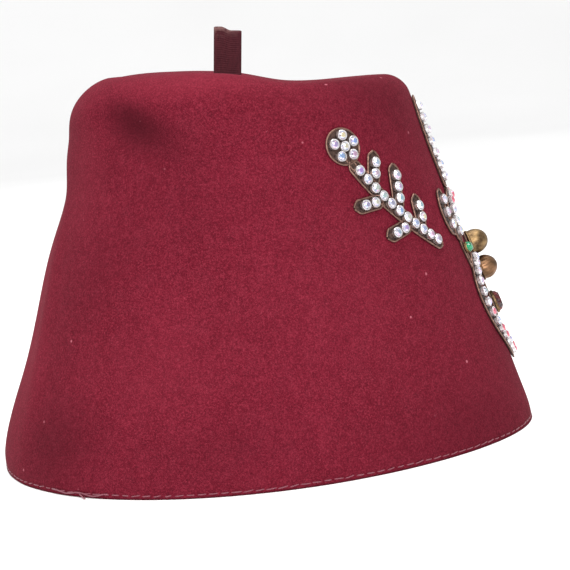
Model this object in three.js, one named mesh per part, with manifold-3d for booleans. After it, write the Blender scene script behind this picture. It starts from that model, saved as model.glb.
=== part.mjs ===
// Fez hat: a moulded felt crown, a folded ribbon tab on its top, and three jewelled ornaments on its front.
// Millimetres. +X is the front, +Z is up and the wearer's right is -Y. The rim rests on z = 0.
import * as THREE from "three";
import { mergeVertices } from "three/addons/utils/BufferGeometryUtils.js";
import Module from "manifold-3d";

const wasm = await Module();
wasm.setup();

// Felt
const FELT_THICKNESS = 2.6;
const RIM_ROUNDING = 0.5;

// Each row is a level of the wall: its share of the height, and how far the felt lies from the middle
// at the front, at the back and at the sides.
const WALL_LEVELS = [
  { share: 0.0, front: 103.8, back: 103.6, side: 86.0 },
  { share: 0.05, front: 102.6, back: 103.4, side: 85.6 },
  { share: 0.14, front: 98.8, back: 99.8, side: 83.4 },
  { share: 0.3, front: 91.8, back: 91.4, side: 78.3 },
  { share: 0.55, front: 81.0, back: 79.4, side: 72.2 },
  { share: 0.72, front: 74.4, back: 71.8, side: 67.6 },
  { share: 0.8, front: 71.0, back: 69.8, side: 65.8 },
  { share: 1.0, front: 63.0, back: 65.6, side: 62.0 },
];

// Height of the crown's edge along the hat: high at the back, with a sag before the front corner.
const CROWN_LINE = [
  { x: -70, height: 140.0 },
  { x: -50, height: 145.8 },
  { x: -24, height: 146.0 },
  { x: -2, height: 143.8 },
  { x: 20, height: 138.5 },
  { x: 44, height: 137.6 },
  { x: 70, height: 138.0 },
];
const CROWN_HOLLOW = 1.2; // how far the middle of the top lies below its edge
const SHOULDER = { front: 7.5, back: 15.5, side: 12 }; // radii between the wall and the top

// The rim is an oval that narrows to the front, and the crown's top is rounder.
const EGG = 0.1;
const FOREHEAD = 0.07;
const TOP_ROUNDNESS = 0.6;

// Dents (positive depth) and swells (negative) of the felt, each a soft bump round its middle.
const DENTS = [
  { name: "dimple", azimuth: -127, height: 130, across: 13, up: 5.4, turn: -28, depth: 3.2 },
  { name: "shoulder_crease", azimuth: -95, height: 131.5, across: 34, up: 3.4, turn: 0, depth: 0.6 },
  { name: "back_flat", azimuth: 180, height: 126, across: 46, up: 5.5, turn: 0, depth: 1.6 },
  { name: "back_waist", azimuth: 180, height: 104, across: 46, up: 11, turn: 0, depth: 1.6 },
  { name: "back_swell", azimuth: -158, height: 66, across: 5, up: 34, turn: 6, depth: -1.1 },
  { name: "side_slack", azimuth: -88, height: 92, across: 30, up: 20, turn: 0, depth: 0.9 },
  { name: "left_slack", azimuth: 96, height: 88, across: 34, up: 24, turn: 10, depth: 1.0 },
];

// How finely the felt is divided: round the hat, and on the wall, the shoulder and the top.
const AROUND = 40;
const OUTER_STEPS = { wall: 9, shoulder: 3, top: 2 };
const INNER_STEPS = { wall: 4, shoulder: 2, top: 2 };

// Ribbon tab
const TAB = { x: -3.5, width: 10.6, height: 18.2, lean: 5.6, step: 1.4, ribbon: 0.9, opening: 1.2, foot: 6.5 };
const TAB_CLEARANCE = { slot: 0.3, foot: 1.5 };

// Stones and the trays that hold them
const SEATING = 0.3; // air between the felt and what is sewn on it
const TRAY = { width: 5.2, thickness: 0.9, tip: 2.4, tipWidth: 0.8 };
const LINK = { width: 2.6, low: 0.4, high: 1.0, step: 7 }; // strips that join the trays, lower than they are
const STONE = { diameter: 3.9, pitch: 4.15, cup: 1.2, rise: 0.8, table: 0.52, sides: 8 };
const SINK = 0.3; // how deep a lone stone's cup is soldered into its plate

// Each ornament has its middle on the felt. Across is towards the wearer's left, up is up the slope.
const FRONT = { azimuth: 0, height: 84 };
const RIGHT = { azimuth: -46, height: 97 };

// Rows of stones, each along a curve through four control points (across, up).
// The front ornament's rows are given for the wearer's right and mirrored to the left.
const FRONT_ROWS = [
  { name: "stem", from: [-8.8, 42], pull: [-10.5, 37], push: [-11.5, 26], to: [-9.5, 13.5] },
  { name: "bud_leaf", from: [-23.6, 6], pull: [-24.8, 3], push: [-25, -1], to: [-23.8, -4] },
  { name: "wing", from: [-10, 6], pull: [-15, 5], push: [-18.6, 0], to: [-18.6, -7.6] },
  { name: "leaf", from: [-9.5, -20], pull: [-25, -25], push: [-24.5, -46], to: [-2.1, -60] },
];
const FRONT_LINKS = [
  { name: "bud_stalk", from: [-24, 1], pull: [-22, 0], push: [-20, -2], to: [-17.6, -3] },
  { name: "collar", from: [-9.8, 9.5], pull: [-7, 9], push: [-4, 8], to: [1, 8] },
  { name: "wing_tip", from: [-18.6, -8], pull: [-18.6, -12], push: [-18.4, -16], to: [-17, -22.5] },
  { name: "boss_arm", from: [-10, -20], pull: [-8, -20], push: [-5, -20], to: [1, -20] },
  { name: "leaf_tip", from: [-3, -60.1], pull: [-2, -60.9], push: [0, -61.3], to: [1, -61.3] },
];
// The side ornament is a sprig: a curved stem, with leaves of two or three stones set to either side.
const SIDE_STEM = { from: [16, -22], pull: [7, -16], push: [-5, -5], to: [-12.5, 9] };
const SIDE_LEAVES = [
  { share: 0.16, side: -1, length: 4.2 },
  { share: 0.32, side: 1, length: 4.2 },
  { share: 0.47, side: -1, length: 8.4 },
  { share: 0.66, side: 1, length: 4.2 },
  { share: 0.8, side: -1, length: 4.2 },
];
const LEAF = { angle: 55, start: 5.4 };
const SIDE_STALK = { from: [-12.2, 8], pull: [-13.4, 10], push: [-14.6, 13], to: [-15.5, 16] };
const SIDE_FLOWER = { across: -15.8, up: 18.6, petals: 5 };

// The plate, the domes and the large stones in the middle of the front ornament
const BOSS_PLATE = { up: -27.5, width: 9.6, length: 39 };
const UPPER_BOSS = { up: -15.6, radius: 5.2, height: 7.6 };
const LOWER_BOSS = { up: -26.4, radius: 4.9, height: 7.2 };
const RED_STONE = { across: 0, up: -40.5, width: 6.2, length: 9.4, height: 3.0 };
const GREEN_STONE = { across: -18.5, up: -14.6, width: 3.4, length: 4.4, height: 2.6 };

const degrees = THREE.MathUtils.degToRad;

// A smooth value between the rows of a table.
function tableValue(table, key, column, at) {
  const last = table.length - 1;
  const x = THREE.MathUtils.clamp(at, table[0][key], table[last][key]);
  let row = 0;
  while (row < last - 1 && x > table[row + 1][key]) row += 1;
  const slopeAt = (i) => {
    const low = table[Math.max(i - 1, 0)];
    const high = table[Math.min(i + 1, last)];
    return (high[column] - low[column]) / (high[key] - low[key]);
  };
  const span = table[row + 1][key] - table[row][key];
  const t = (x - table[row][key]) / span;
  const rest = 1 - t;
  const ends = table[row][column] * (1 + 2 * t) * rest ** 2 + table[row + 1][column] * (3 - 2 * t) * t ** 2;
  return ends + span * (slopeAt(row) * t * rest ** 2 - slopeAt(row + 1) * t ** 2 * rest);
}

function crownHeight(x) {
  return tableValue(CROWN_LINE, "x", "height", x);
}

// The wall, before its shoulder: share runs from 0 at the rim to 1 at the crown's sharp edge.
function wallPoint(azimuth, share) {
  const forward = Math.cos(azimuth);
  const reach = tableValue(WALL_LEVELS, "share", forward > 0 ? "front" : "back", share);
  const side = tableValue(WALL_LEVELS, "share", "side", share);
  const oval = EGG * forward + FOREHEAD * Math.max(forward, 0) ** 2;
  const x = reach * forward;
  const y = side * Math.sin(azimuth) * (1 - oval * (1 - TOP_ROUNDNESS * share));
  return new THREE.Vector3(x, y, share * crownHeight(x));
}

// The top, before its shoulder: spread runs from 0 at the middle to 1 at the sharp edge.
function topPoint(azimuth, spread) {
  const edge = wallPoint(azimuth, 1);
  const x = edge.x * spread;
  return new THREE.Vector3(x, edge.y * spread, crownHeight(x) - CROWN_HOLLOW * (1 - spread ** 2));
}

// The felt without its dents. Course runs 0 to 1 up the wall, to 2 over the shoulder, to 3 at the middle.
function smoothFelt(azimuth, course) {
  const end = Math.cos(azimuth) > 0 ? SHOULDER.front : SHOULDER.back;
  const radius = end * Math.cos(azimuth) ** 2 + SHOULDER.side * Math.sin(azimuth) ** 2;
  const corner = wallPoint(azimuth, 1);
  const wallEnd = 1 - radius / corner.z;
  const topStart = 1 - radius / Math.hypot(corner.x, corner.y);
  if (course <= 1) return wallPoint(azimuth, course * wallEnd);
  if (course >= 2) return topPoint(azimuth, topStart * (3 - course));
  const circle = 0.5523;
  const low = wallPoint(azimuth, wallEnd);
  const high = topPoint(azimuth, topStart);
  const curve = new THREE.CubicBezierCurve3(
    low,
    low.clone().lerp(corner, circle),
    high.clone().lerp(corner, circle),
    high,
  );
  return curve.getPoint(course - 1);
}

function normalOf(surface, azimuth, course) {
  const step = 1e-3;
  const low = Math.max(course - step, 0);
  const high = Math.min(course + step, 3 - step);
  const round = surface(azimuth + step, Math.min(course, 3 - 2 * step));
  round.sub(surface(azimuth - step, Math.min(course, 3 - 2 * step)));
  const rise = surface(azimuth, high).sub(surface(azimuth, Math.min(low, 3 - 3 * step)));
  return round.cross(rise).normalize();
}

function dentDepth(point) {
  const azimuth = Math.atan2(point.y, point.x);
  const distance = Math.hypot(point.x, point.y);
  let depth = 0;
  for (const dent of DENTS) {
    const turned = azimuth - degrees(dent.azimuth);
    const away = Math.atan2(Math.sin(turned), Math.cos(turned));
    const across = away * distance;
    const up = point.z - dent.height;
    const turn = degrees(dent.turn);
    const along = (across * Math.cos(turn) + up * Math.sin(turn)) / dent.across;
    const over = (up * Math.cos(turn) - across * Math.sin(turn)) / dent.up;
    depth += dent.depth * Math.exp(-(along ** 2 + over ** 2) / 2);
  }
  return depth;
}

function feltPoint(azimuth, course) {
  const point = smoothFelt(azimuth, course);
  const inwards = normalOf(smoothFelt, azimuth, course).multiplyScalar(-dentDepth(point));
  return point.add(inwards);
}

function feltNormal(azimuth, course) {
  return normalOf(feltPoint, azimuth, course);
}

// A closed body from rings of points with equal counts, closed to a point at both ends.
function ringBody(rings, first, last) {
  const count = rings[0].length;
  const positions = [];
  const index = [];
  for (const ring of rings) {
    for (const point of ring) positions.push(point.x, point.y, point.z);
  }
  positions.push(first.x, first.y, first.z, last.x, last.y, last.z);
  const firstPole = rings.length * count;
  const lastPole = firstPole + 1;
  for (let i = 0; i < count; i++) {
    const next = (i + 1) % count;
    index.push(firstPole, next, i);
    for (let r = 0; r < rings.length - 1; r++) {
      const low = r * count;
      const high = low + count;
      index.push(low + i, low + next, high + next, low + i, high + next, high + i);
    }
    const top = (rings.length - 1) * count;
    index.push(top + i, top + next, lastPole);
  }
  const geometry = new THREE.BufferGeometry();
  geometry.setAttribute("position", new THREE.Float32BufferAttribute(positions, 3));
  geometry.setIndex(index);
  return facedOut(geometry);
}

// A chart that mirrors another turns a body inside out, so its faces are turned back.
function facedOut(geometry) {
  const { position } = geometry.attributes;
  const index = [...geometry.index.array];
  const corner = (i) => new THREE.Vector3().fromBufferAttribute(position, index[i]);
  let volume = 0;
  for (let i = 0; i < index.length; i += 3) volume += corner(i).dot(corner(i + 1).cross(corner(i + 2)));
  if (volume < 0) geometry.setIndex(index.reverse());
  return geometry;
}

function solidOf(geometry) {
  const bare = geometry.clone();
  bare.deleteAttribute("normal");
  bare.deleteAttribute("uv");
  const merged = mergeVertices(bare, 1e-4);
  const triVerts = new Uint32Array(merged.index.array);
  const vertProperties = new Float32Array(merged.attributes.position.array);
  return new wasm.Manifold(new wasm.Mesh({ numProp: 3, vertProperties, triVerts }));
}

function geometryOf(solid) {
  const mesh = solid.getMesh();
  const positions = [];
  for (let v = 0; v < mesh.numVert; v++) {
    const start = v * mesh.numProp;
    positions.push(...mesh.vertProperties.slice(start, start + 3));
  }
  const geometry = new THREE.BufferGeometry();
  geometry.setAttribute("position", new THREE.Float32BufferAttribute(positions, 3));
  geometry.setIndex([...mesh.triVerts]);
  return geometry;
}

function join(geometries) {
  return geometryOf(geometries.map(solidOf).reduce((whole, piece) => whole.add(piece)));
}

function material(color, roughness, metalness) {
  return new THREE.MeshStandardMaterial({ color, roughness, metalness, flatShading: true });
}

function named(name, geometry, finish) {
  const mesh = new THREE.Mesh(geometry, finish);
  mesh.name = name;
  return mesh;
}

// The courses of a skin, from just above the rim to just before the middle of the top.
function coursesOf(steps, lowest) {
  const courses = [];
  for (let i = 1; i <= steps.wall; i++) courses.push(lowest + ((1 - lowest) * i) / steps.wall);
  for (let i = 1; i <= steps.shoulder; i++) courses.push(1 + i / steps.shoulder);
  for (let i = 1; i < steps.top + 1; i++) courses.push(2 + i / (steps.top + 1));
  return courses;
}

function feltRing(course, inset, height) {
  const ring = [];
  for (let i = 0; i < AROUND; i++) {
    const azimuth = (i / AROUND) * 2 * Math.PI;
    const point = feltPoint(azimuth, course);
    const inwards = feltNormal(azimuth, course).multiplyScalar(-inset);
    if (height !== undefined) inwards.z = 0;
    point.add(inwards);
    if (height !== undefined) point.z = height;
    ring.push(point);
  }
  return ring;
}

function feltPole(inset) {
  const point = feltPoint(0, 3);
  point.z -= inset;
  return point;
}

// Where the tab stands, on the middle of the top, leaning to the front.
function tabSeat() {
  const seat = new THREE.Group();
  seat.position.set(TAB.x, 0, crownHeight(TAB.x) - CROWN_HOLLOW);
  seat.rotation.y = degrees(TAB.lean);
  return seat;
}

const tabThickness = 2 * TAB.ribbon + TAB.opening;

function tabSlot() {
  const length = TAB.width + 2 * TAB_CLEARANCE.slot;
  const width = tabThickness + 2 * TAB_CLEARANCE.slot;
  const slot = new THREE.Mesh(new THREE.BoxGeometry(length, width, 4 * FELT_THICKNESS));
  const seat = tabSeat();
  seat.add(slot);
  seat.updateMatrixWorld(true);
  return slot.geometry.applyMatrix4(slot.matrixWorld);
}

function feltCrown() {
  const rimCourse = RIM_ROUNDING / crownHeight(0);
  const outer = coursesOf(OUTER_STEPS, rimCourse).map((course) => feltRing(course, 0));
  const inner = coursesOf(INNER_STEPS, 0).map((course) => feltRing(course, FELT_THICKNESS));
  const rim = [
    feltRing(0, FELT_THICKNESS, RIM_ROUNDING),
    feltRing(0, FELT_THICKNESS - RIM_ROUNDING, 0),
    feltRing(0, RIM_ROUNDING, 0),
    feltRing(0, 0, RIM_ROUNDING),
  ];
  const rings = [...inner.reverse(), ...rim, ...outer];
  const felt = ringBody(rings, feltPole(FELT_THICKNESS), feltPole(0));
  return geometryOf(solidOf(felt).subtract(solidOf(tabSlot())));
}

// The tab's profile across the hat: up one side, round the fold, down the other, and a foot at each end.
function tabProfile() {
  const inside = TAB.opening / 2;
  const outside = inside + TAB.ribbon;
  const foldCentre = TAB.height - outside;
  const footTop = -FELT_THICKNESS - TAB_CLEARANCE.foot;
  const footBottom = footTop - TAB.ribbon;
  const footEnd = outside + TAB.foot;
  const shape = new THREE.Shape();
  shape.moveTo(footEnd, footBottom);
  shape.lineTo(footEnd, footTop);
  shape.lineTo(outside, footTop);
  shape.lineTo(outside, foldCentre);
  shape.absarc(0, foldCentre, outside, 0, Math.PI, false);
  shape.lineTo(-outside, footTop);
  shape.lineTo(-footEnd, footTop);
  shape.lineTo(-footEnd, footBottom);
  shape.lineTo(-inside, footBottom);
  shape.lineTo(-inside, foldCentre);
  shape.absarc(0, foldCentre, inside, Math.PI, 0, true);
  shape.lineTo(inside, footBottom);
  shape.closePath();
  return shape;
}

function tasselTab() {
  const geometry = new THREE.ExtrudeGeometry(tabProfile(), {
    depth: TAB.width,
    steps: 3,
    curveSegments: 4,
    bevelEnabled: false,
  });
  geometry.translate(0, 0, -TAB.width / 2);
  geometry.rotateX(Math.PI / 2);
  geometry.rotateZ(Math.PI / 2);
  stepTheFold(geometry);
  return geometryOf(solidOf(geometry));
}

// The back half of the fold stands higher than the front half.
function stepTheFold(geometry) {
  const position = geometry.attributes.position;
  for (let i = 0; i < position.count; i++) {
    const backward = THREE.MathUtils.smoothstep(-position.getX(i), -TAB.width / 8, TAB.width / 4);
    const height = Math.max(position.getZ(i), 0) / TAB.height;
    position.setZ(i, position.getZ(i) - TAB.step * (1 - backward) * height);
  }
}

// The course at which the felt reaches a height, on one azimuth.
function courseAt(azimuth, height) {
  let low = 0;
  let high = 1;
  for (let i = 0; i < 30; i++) {
    const middle = (low + high) / 2;
    if (feltPoint(azimuth, middle).z < height) low = middle;
    else high = middle;
  }
  return low;
}

// A chart of the felt round an ornament's middle. Its side is 1, or -1 where it mirrors the other.
function chartOf(place, side) {
  const azimuth = degrees(place.azimuth) * side;
  const course = courseAt(azimuth, place.height);
  const step = 0.02;
  const slope = feltPoint(azimuth, course + step).distanceTo(feltPoint(azimuth, course - step)) / (2 * step);
  const girthAt = (turn, level) =>
    smoothFelt(turn + step, level).distanceTo(smoothFelt(turn - step, level)) / (2 * step);
  return (across, up, lift) => {
    const level = course + up / slope;
    const halfway = azimuth + (across * side) / girthAt(azimuth, level) / 2;
    const turn = azimuth + (across * side) / girthAt(halfway, level);
    return feltPoint(turn, level).add(feltNormal(turn, level).multiplyScalar(lift));
  };
}

// The chart's own axes at a point: across, up and out of the felt.
function placeOnFelt(mesh, chart, across, up, lift) {
  const near = 0.5;
  const right = chart(across + near, up, lift).sub(chart(across - near, up, lift)).normalize();
  const rise = chart(across, up + near, lift).sub(chart(across, up - near, lift)).normalize();
  const out = new THREE.Vector3().crossVectors(right, rise).normalize();
  if (out.x * chart(across, up, 0).x + out.y * chart(across, up, 0).y < 0) out.negate();
  const upright = rise.clone().addScaledVector(out, -rise.dot(out)).normalize();
  const sideways = new THREE.Vector3().crossVectors(upright, out);
  const axes = new THREE.Matrix4().makeBasis(sideways, upright, out);
  mesh.quaternion.setFromRotationMatrix(axes);
  mesh.position.copy(chart(across, up, lift));
  mesh.updateMatrixWorld(true);
  return mesh;
}

function curveOf(row, side) {
  const at = (pair) => new THREE.Vector2(pair[0] * side, pair[1]);
  return new THREE.CubicBezierCurve(at(row.from), at(row.pull), at(row.push), at(row.to));
}

// The places along a curve, each with its point, its direction and half the width of the strip there.
function stationsOf(curve, steps, width) {
  return curve.getSpacedPoints(steps).map((point, i) => ({
    point,
    along: curve.getTangentAt(i / steps),
    half: width / 2,
  }));
}

// A point beside a station, on the left (1) or the right (-1), at a height over the felt.
function beside(chart, station, side, lift) {
  const across = station.point.x - station.along.y * station.half * side;
  const up = station.point.y + station.along.x * station.half * side;
  return chart(across, up, lift);
}

function sectionOf(chart, station, low, high) {
  return [
    beside(chart, station, 1, low),
    beside(chart, station, -1, low),
    beside(chart, station, -1, high),
    beside(chart, station, 1, high),
  ];
}

// A thin link between two trays, lower than they are.
function link(chart, curve, width) {
  const steps = Math.max(Math.round(curve.getLength() / LINK.step), 2);
  const stations = stationsOf(curve, steps, width);
  return closedStrip(stations.map((station) => sectionOf(chart, station, LINK.low, LINK.high)));
}

// Rings of corners, closed flat at both ends.
function closedStrip(rings) {
  const middle = (ring) => ring.reduce((sum, p) => sum.add(p), new THREE.Vector3()).divideScalar(ring.length);
  return ringBody(rings, middle(rings[0]), middle(rings[rings.length - 1]));
}

// The rings of a stone, from its cup's foot to its table: each has a share of the radius and a height.
const trayTop = SEATING + TRAY.thickness;
const STONE_RINGS = [
  { share: 1, lift: trayTop },
  { share: 1, lift: trayTop + STONE.cup },
  { share: STONE.table, lift: trayTop + STONE.cup + STONE.rise },
];

// An eight-sided ring round a middle, starting half a side from the direction that the row runs in.
function stoneRing(chart, middle, along, share, lift) {
  const ring = [];
  for (let k = 0; k < STONE.sides; k++) {
    const angle = ((k + 0.5) / STONE.sides) * 2 * Math.PI;
    const forward = (Math.cos(angle) * share * STONE.diameter) / 2;
    const left = (Math.sin(angle) * share * STONE.diameter) / 2;
    const across = middle.x + along.x * forward - along.y * left;
    const up = middle.y + along.y * forward + along.x * left;
    ring.push(chart(across, up, lift));
  }
  return ring;
}

// Collects triangles by their corner points.
function pointSoup() {
  const positions = [];
  return {
    triangle: (...points) => points.forEach((point) => positions.push(point.x, point.y, point.z)),
    quad(a, b, c, d) {
      this.triangle(a, b, c);
      this.triangle(a, c, d);
    },
    body() {
      const geometry = new THREE.BufferGeometry();
      geometry.setAttribute("position", new THREE.Float32BufferAttribute(positions, 3));
      return facedOut(mergeVertices(geometry, 1e-4));
    },
  };
}

// One cell of a row: a length of tray whose top is pierced by the stone's cup, and the stone over it.
function stoneCell(soup, chart, start, end, middle, along) {
  const [startLeft, startRight, startRightTop, startLeftTop] = start;
  const [endLeft, endRight, endRightTop, endLeftTop] = end;
  soup.quad(startLeft, endLeft, endRight, startRight);
  soup.quad(startRight, endRight, endRightTop, startRightTop);
  soup.quad(endLeft, startLeft, startLeftTop, endLeftTop);
  const rings = STONE_RINGS.map(({ share, lift }) => stoneRing(chart, middle, along, share, lift));
  const foot = rings[0];
  const corners = [endLeftTop, startLeftTop, startRightTop, endRightTop];
  for (let k = 0; k < 4; k++) {
    const corner = corners[k];
    const nextCorner = corners[(k + 1) % 4];
    const [a, b, c] = [foot[2 * k], foot[2 * k + 1], foot[(2 * k + 2) % STONE.sides]];
    soup.triangle(corner, b, a);
    soup.quad(corner, nextCorner, c, b);
  }
  for (let r = 0; r < rings.length - 1; r++) {
    for (let k = 0; k < STONE.sides; k++) {
      const next = (k + 1) % STONE.sides;
      soup.quad(rings[r][k], rings[r][next], rings[r + 1][next], rings[r + 1][k]);
    }
  }
  const table = rings[rings.length - 1];
  for (let k = 1; k < STONE.sides - 1; k++) soup.triangle(table[0], table[k], table[k + 1]);
}

// A row of stones on its tray, which runs out to a narrow tip at each end.
function stoneRow(chart, curve) {
  const count = Math.floor(curve.getLength() / STONE.pitch) + 1;
  const stones = stationsOf(curve, count - 1, TRAY.width);
  const shift = (station, distance, half) => ({
    ...station,
    half,
    point: station.point.clone().addScaledVector(station.along, distance),
  });
  const pitch = curve.getLength() / (count - 1);
  const first = stones[0];
  const last = stones[count - 1];
  const half = TRAY.width / 2;
  const between = stationsOf(curve, 2 * (count - 1), TRAY.width).filter((_, i) => i % 2 === 1);
  const cuts = [shift(first, -pitch / 2, half), ...between, shift(last, pitch / 2, half)];
  const sections = cuts.map((station) => sectionOf(chart, station, SEATING, trayTop));
  const soup = pointSoup();
  for (let i = 0; i < count; i++) {
    stoneCell(soup, chart, sections[i], sections[i + 1], stones[i].point, stones[i].along);
  }
  const narrow = TRAY.tipWidth / 2;
  const startTip = sectionOf(chart, shift(first, -pitch / 2 - TRAY.tip, narrow), SEATING, trayTop);
  const endTip = sectionOf(chart, shift(last, pitch / 2 + TRAY.tip, narrow), SEATING, trayTop);
  for (const [from, to] of [[startTip, sections[0]], [sections[count], endTip]]) {
    for (let k = 0; k < 4; k++) {
      const next = (k + 1) % 4;
      soup.quad(from[next], from[k], to[k], to[next]);
    }
  }
  soup.quad(...startTip);
  soup.quad(...endTip.reverse());
  return soup.body();
}

// A stone in a round cup by itself, its foot sunk in the plate that it is soldered to.
function loneStone(chart, across, up) {
  const middle = new THREE.Vector2(across, up);
  const along = new THREE.Vector2(1, 0);
  const levels = [{ share: 1, lift: LINK.high - SINK }, ...STONE_RINGS.slice(1)];
  const rings = levels.map(({ share, lift }) => stoneRing(chart, middle, along, share, lift));
  const table = levels[levels.length - 1].lift;
  return ringBody(rings, chart(across, up, levels[0].lift), chart(across, up, table));
}

// The plate behind the domes and the red stone.
function bossPlate(chart) {
  const end = BOSS_PLATE.length / 2;
  const from = [0, BOSS_PLATE.up - end];
  const to = [0, BOSS_PLATE.up + end];
  const middle = [0, BOSS_PLATE.up];
  return link(chart, curveOf({ from, pull: middle, push: middle, to }, 1), BOSS_PLATE.width);
}

// A round plate with a stone in its middle and petals of stones round it.
function flower(chart, middle) {
  const sides = 12;
  const reach = STONE.pitch + STONE.diameter / 2 + 0.7;
  const edge = (lift) => {
    const ring = [];
    for (let i = 0; i < sides; i++) {
      const angle = (i / sides) * 2 * Math.PI;
      ring.push(chart(middle.across + reach * Math.cos(angle), middle.up + reach * Math.sin(angle), lift));
    }
    return ring;
  };
  const plate = ringBody(
    [edge(LINK.low), edge(LINK.high)],
    chart(middle.across, middle.up, LINK.low),
    chart(middle.across, middle.up, LINK.high),
  );
  const pieces = [plate, loneStone(chart, middle.across, middle.up)];
  for (let i = 0; i < middle.petals; i++) {
    const angle = ((i + 0.25) / middle.petals) * 2 * Math.PI;
    const across = middle.across + STONE.pitch * Math.cos(angle);
    const up = middle.up + STONE.pitch * Math.sin(angle);
    pieces.push(loneStone(chart, across, up));
  }
  return pieces;
}

function frontSpray() {
  const chart = chartOf(FRONT, 1);
  const pieces = [bossPlate(chart)];
  for (const side of [1, -1]) {
    for (const row of FRONT_ROWS) pieces.push(stoneRow(chart, curveOf(row, side)));
    for (const row of FRONT_LINKS) pieces.push(link(chart, curveOf(row, side), LINK.width));
  }
  return join(pieces);
}

// A leaf of a sprig: a short straight row that starts beside the stem and leans along it.
function leafCurve(stem, leaf) {
  const root = stem.getPointAt(leaf.share);
  const turn = degrees(LEAF.angle) * leaf.side;
  const way = stem.getTangentAt(leaf.share).rotateAround(new THREE.Vector2(), turn);
  const at = (distance) => root.clone().addScaledVector(way, LEAF.start + distance);
  return new THREE.CubicBezierCurve(at(0), at(leaf.length / 3), at((2 * leaf.length) / 3), at(leaf.length));
}

function sideSpray(side) {
  const chart = chartOf(RIGHT, side);
  const stem = curveOf(SIDE_STEM, 1);
  const pieces = flower(chart, SIDE_FLOWER);
  pieces.push(stoneRow(chart, stem), link(chart, curveOf(SIDE_STALK, 1), LINK.width));
  for (const leaf of SIDE_LEAVES) pieces.push(stoneRow(chart, leafCurve(stem, leaf)));
  return join(pieces);
}

// A brass dome: a short straight skirt and a round top.
function bossDome(boss) {
  const skirt = boss.height - boss.radius;
  const profile = [new THREE.Vector2(0, 0), new THREE.Vector2(boss.radius, 0)];
  const rings = 4;
  for (let i = 0; i < rings; i++) {
    const angle = (i / rings) * (Math.PI / 2);
    profile.push(new THREE.Vector2(boss.radius * Math.cos(angle), skirt + boss.radius * Math.sin(angle)));
  }
  profile.push(new THREE.Vector2(0, boss.height));
  const geometry = new THREE.LatheGeometry(profile, 12);
  geometry.rotateX(Math.PI / 2);
  return geometryOf(solidOf(geometry));
}

// A long cut stone: an eight-sided girdle with facets up to a table.
function longStone(stone) {
  const profile = [
    new THREE.Vector2(0, 0),
    new THREE.Vector2(0.5, 0),
    new THREE.Vector2(0.5, 0.45),
    new THREE.Vector2(0.3, 1),
    new THREE.Vector2(0, 1),
  ];
  const geometry = new THREE.LatheGeometry(profile, STONE.sides);
  geometry.rotateX(Math.PI / 2);
  geometry.scale(stone.width, stone.length, stone.height);
  return geometryOf(solidOf(geometry));
}

const felt = material(0x7d2538, 0.95, 0);
const ribbon = material(0x54232a, 0.9, 0);
const brass = material(0x9c8867, 0.45, 0.9);
const silveredStones = material(0xd8d6dc, 0.25, 0.5);
const redGlass = material(0x7a1020, 0.1, 0);
const greenGlass = material(0x1f7a55, 0.1, 0);

const hat = new THREE.Group();
hat.add(named("felt_crown", feltCrown(), felt));

const seat = tabSeat();
seat.add(named("tassel_tab", tasselTab(), ribbon));
hat.add(seat);

hat.add(named("front_spray", frontSpray(), silveredStones));
hat.add(named("right_spray", sideSpray(1), silveredStones));
hat.add(named("left_spray", sideSpray(-1), silveredStones));

const front = chartOf(FRONT, 1);
const onPlate = LINK.high + SEATING;
const upperBoss = named("upper_boss", bossDome(UPPER_BOSS), brass);
const lowerBoss = named("lower_boss", bossDome(LOWER_BOSS), brass);
const redStone = named("red_stone", longStone(RED_STONE), redGlass);
hat.add(placeOnFelt(upperBoss, front, 0, UPPER_BOSS.up, onPlate));
hat.add(placeOnFelt(lowerBoss, front, 0, LOWER_BOSS.up, onPlate));
hat.add(placeOnFelt(redStone, front, RED_STONE.across, RED_STONE.up, onPlate));
for (const [name, side] of [["green_stone_right", 1], ["green_stone_left", -1]]) {
  const stone = named(name, longStone(GREEN_STONE), greenGlass);
  hat.add(placeOnFelt(stone, front, GREEN_STONE.across * side, GREEN_STONE.up, onPlate));
}

export default hat;
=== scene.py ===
# %% [markdown]
# A fez hat of moulded felt, with a ribbon tab on its top and jewelled metal ornaments on its front.
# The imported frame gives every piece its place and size. This lesson dresses it, one piece at a time:
# the felt, the trays with their wire edges, the cut stones, the brass domes, the ribbon and the stitches.

# %% Load the frame
import math

import bpy
import numpy as np
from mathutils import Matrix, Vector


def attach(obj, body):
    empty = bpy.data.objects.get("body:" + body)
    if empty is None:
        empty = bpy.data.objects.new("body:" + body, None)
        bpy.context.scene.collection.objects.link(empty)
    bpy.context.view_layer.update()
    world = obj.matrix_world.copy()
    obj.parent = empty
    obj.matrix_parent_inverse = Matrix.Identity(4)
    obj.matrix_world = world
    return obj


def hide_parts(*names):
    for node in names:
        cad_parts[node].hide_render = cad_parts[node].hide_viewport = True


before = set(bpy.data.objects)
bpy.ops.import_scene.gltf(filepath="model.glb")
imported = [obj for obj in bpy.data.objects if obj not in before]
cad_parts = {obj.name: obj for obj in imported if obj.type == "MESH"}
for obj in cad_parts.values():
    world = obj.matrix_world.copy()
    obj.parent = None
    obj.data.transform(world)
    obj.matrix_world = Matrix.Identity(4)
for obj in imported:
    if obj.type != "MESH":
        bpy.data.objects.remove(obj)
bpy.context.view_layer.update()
MM = 0.001

# %% [markdown]
# Every piece ends as a plain mesh whose object stands at the origin, so its points are worked out in
# place, in millimetres, and scaled to metres once. Numpy makes the points and Blender takes them as a mesh.

# %% Meshes from points
def mesh_object(name, points, faces, smooth=True, edges=()):
    mesh = bpy.data.meshes.new(name)
    mesh.from_pydata((np.asarray(points, float) * MM).tolist(), list(edges), faces)
    mesh.polygons.foreach_set("use_smooth", [smooth] * len(mesh.polygons))
    mesh.update()
    piece = bpy.data.objects.new(name, mesh)
    bpy.context.scene.collection.objects.link(piece)
    return piece


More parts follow.
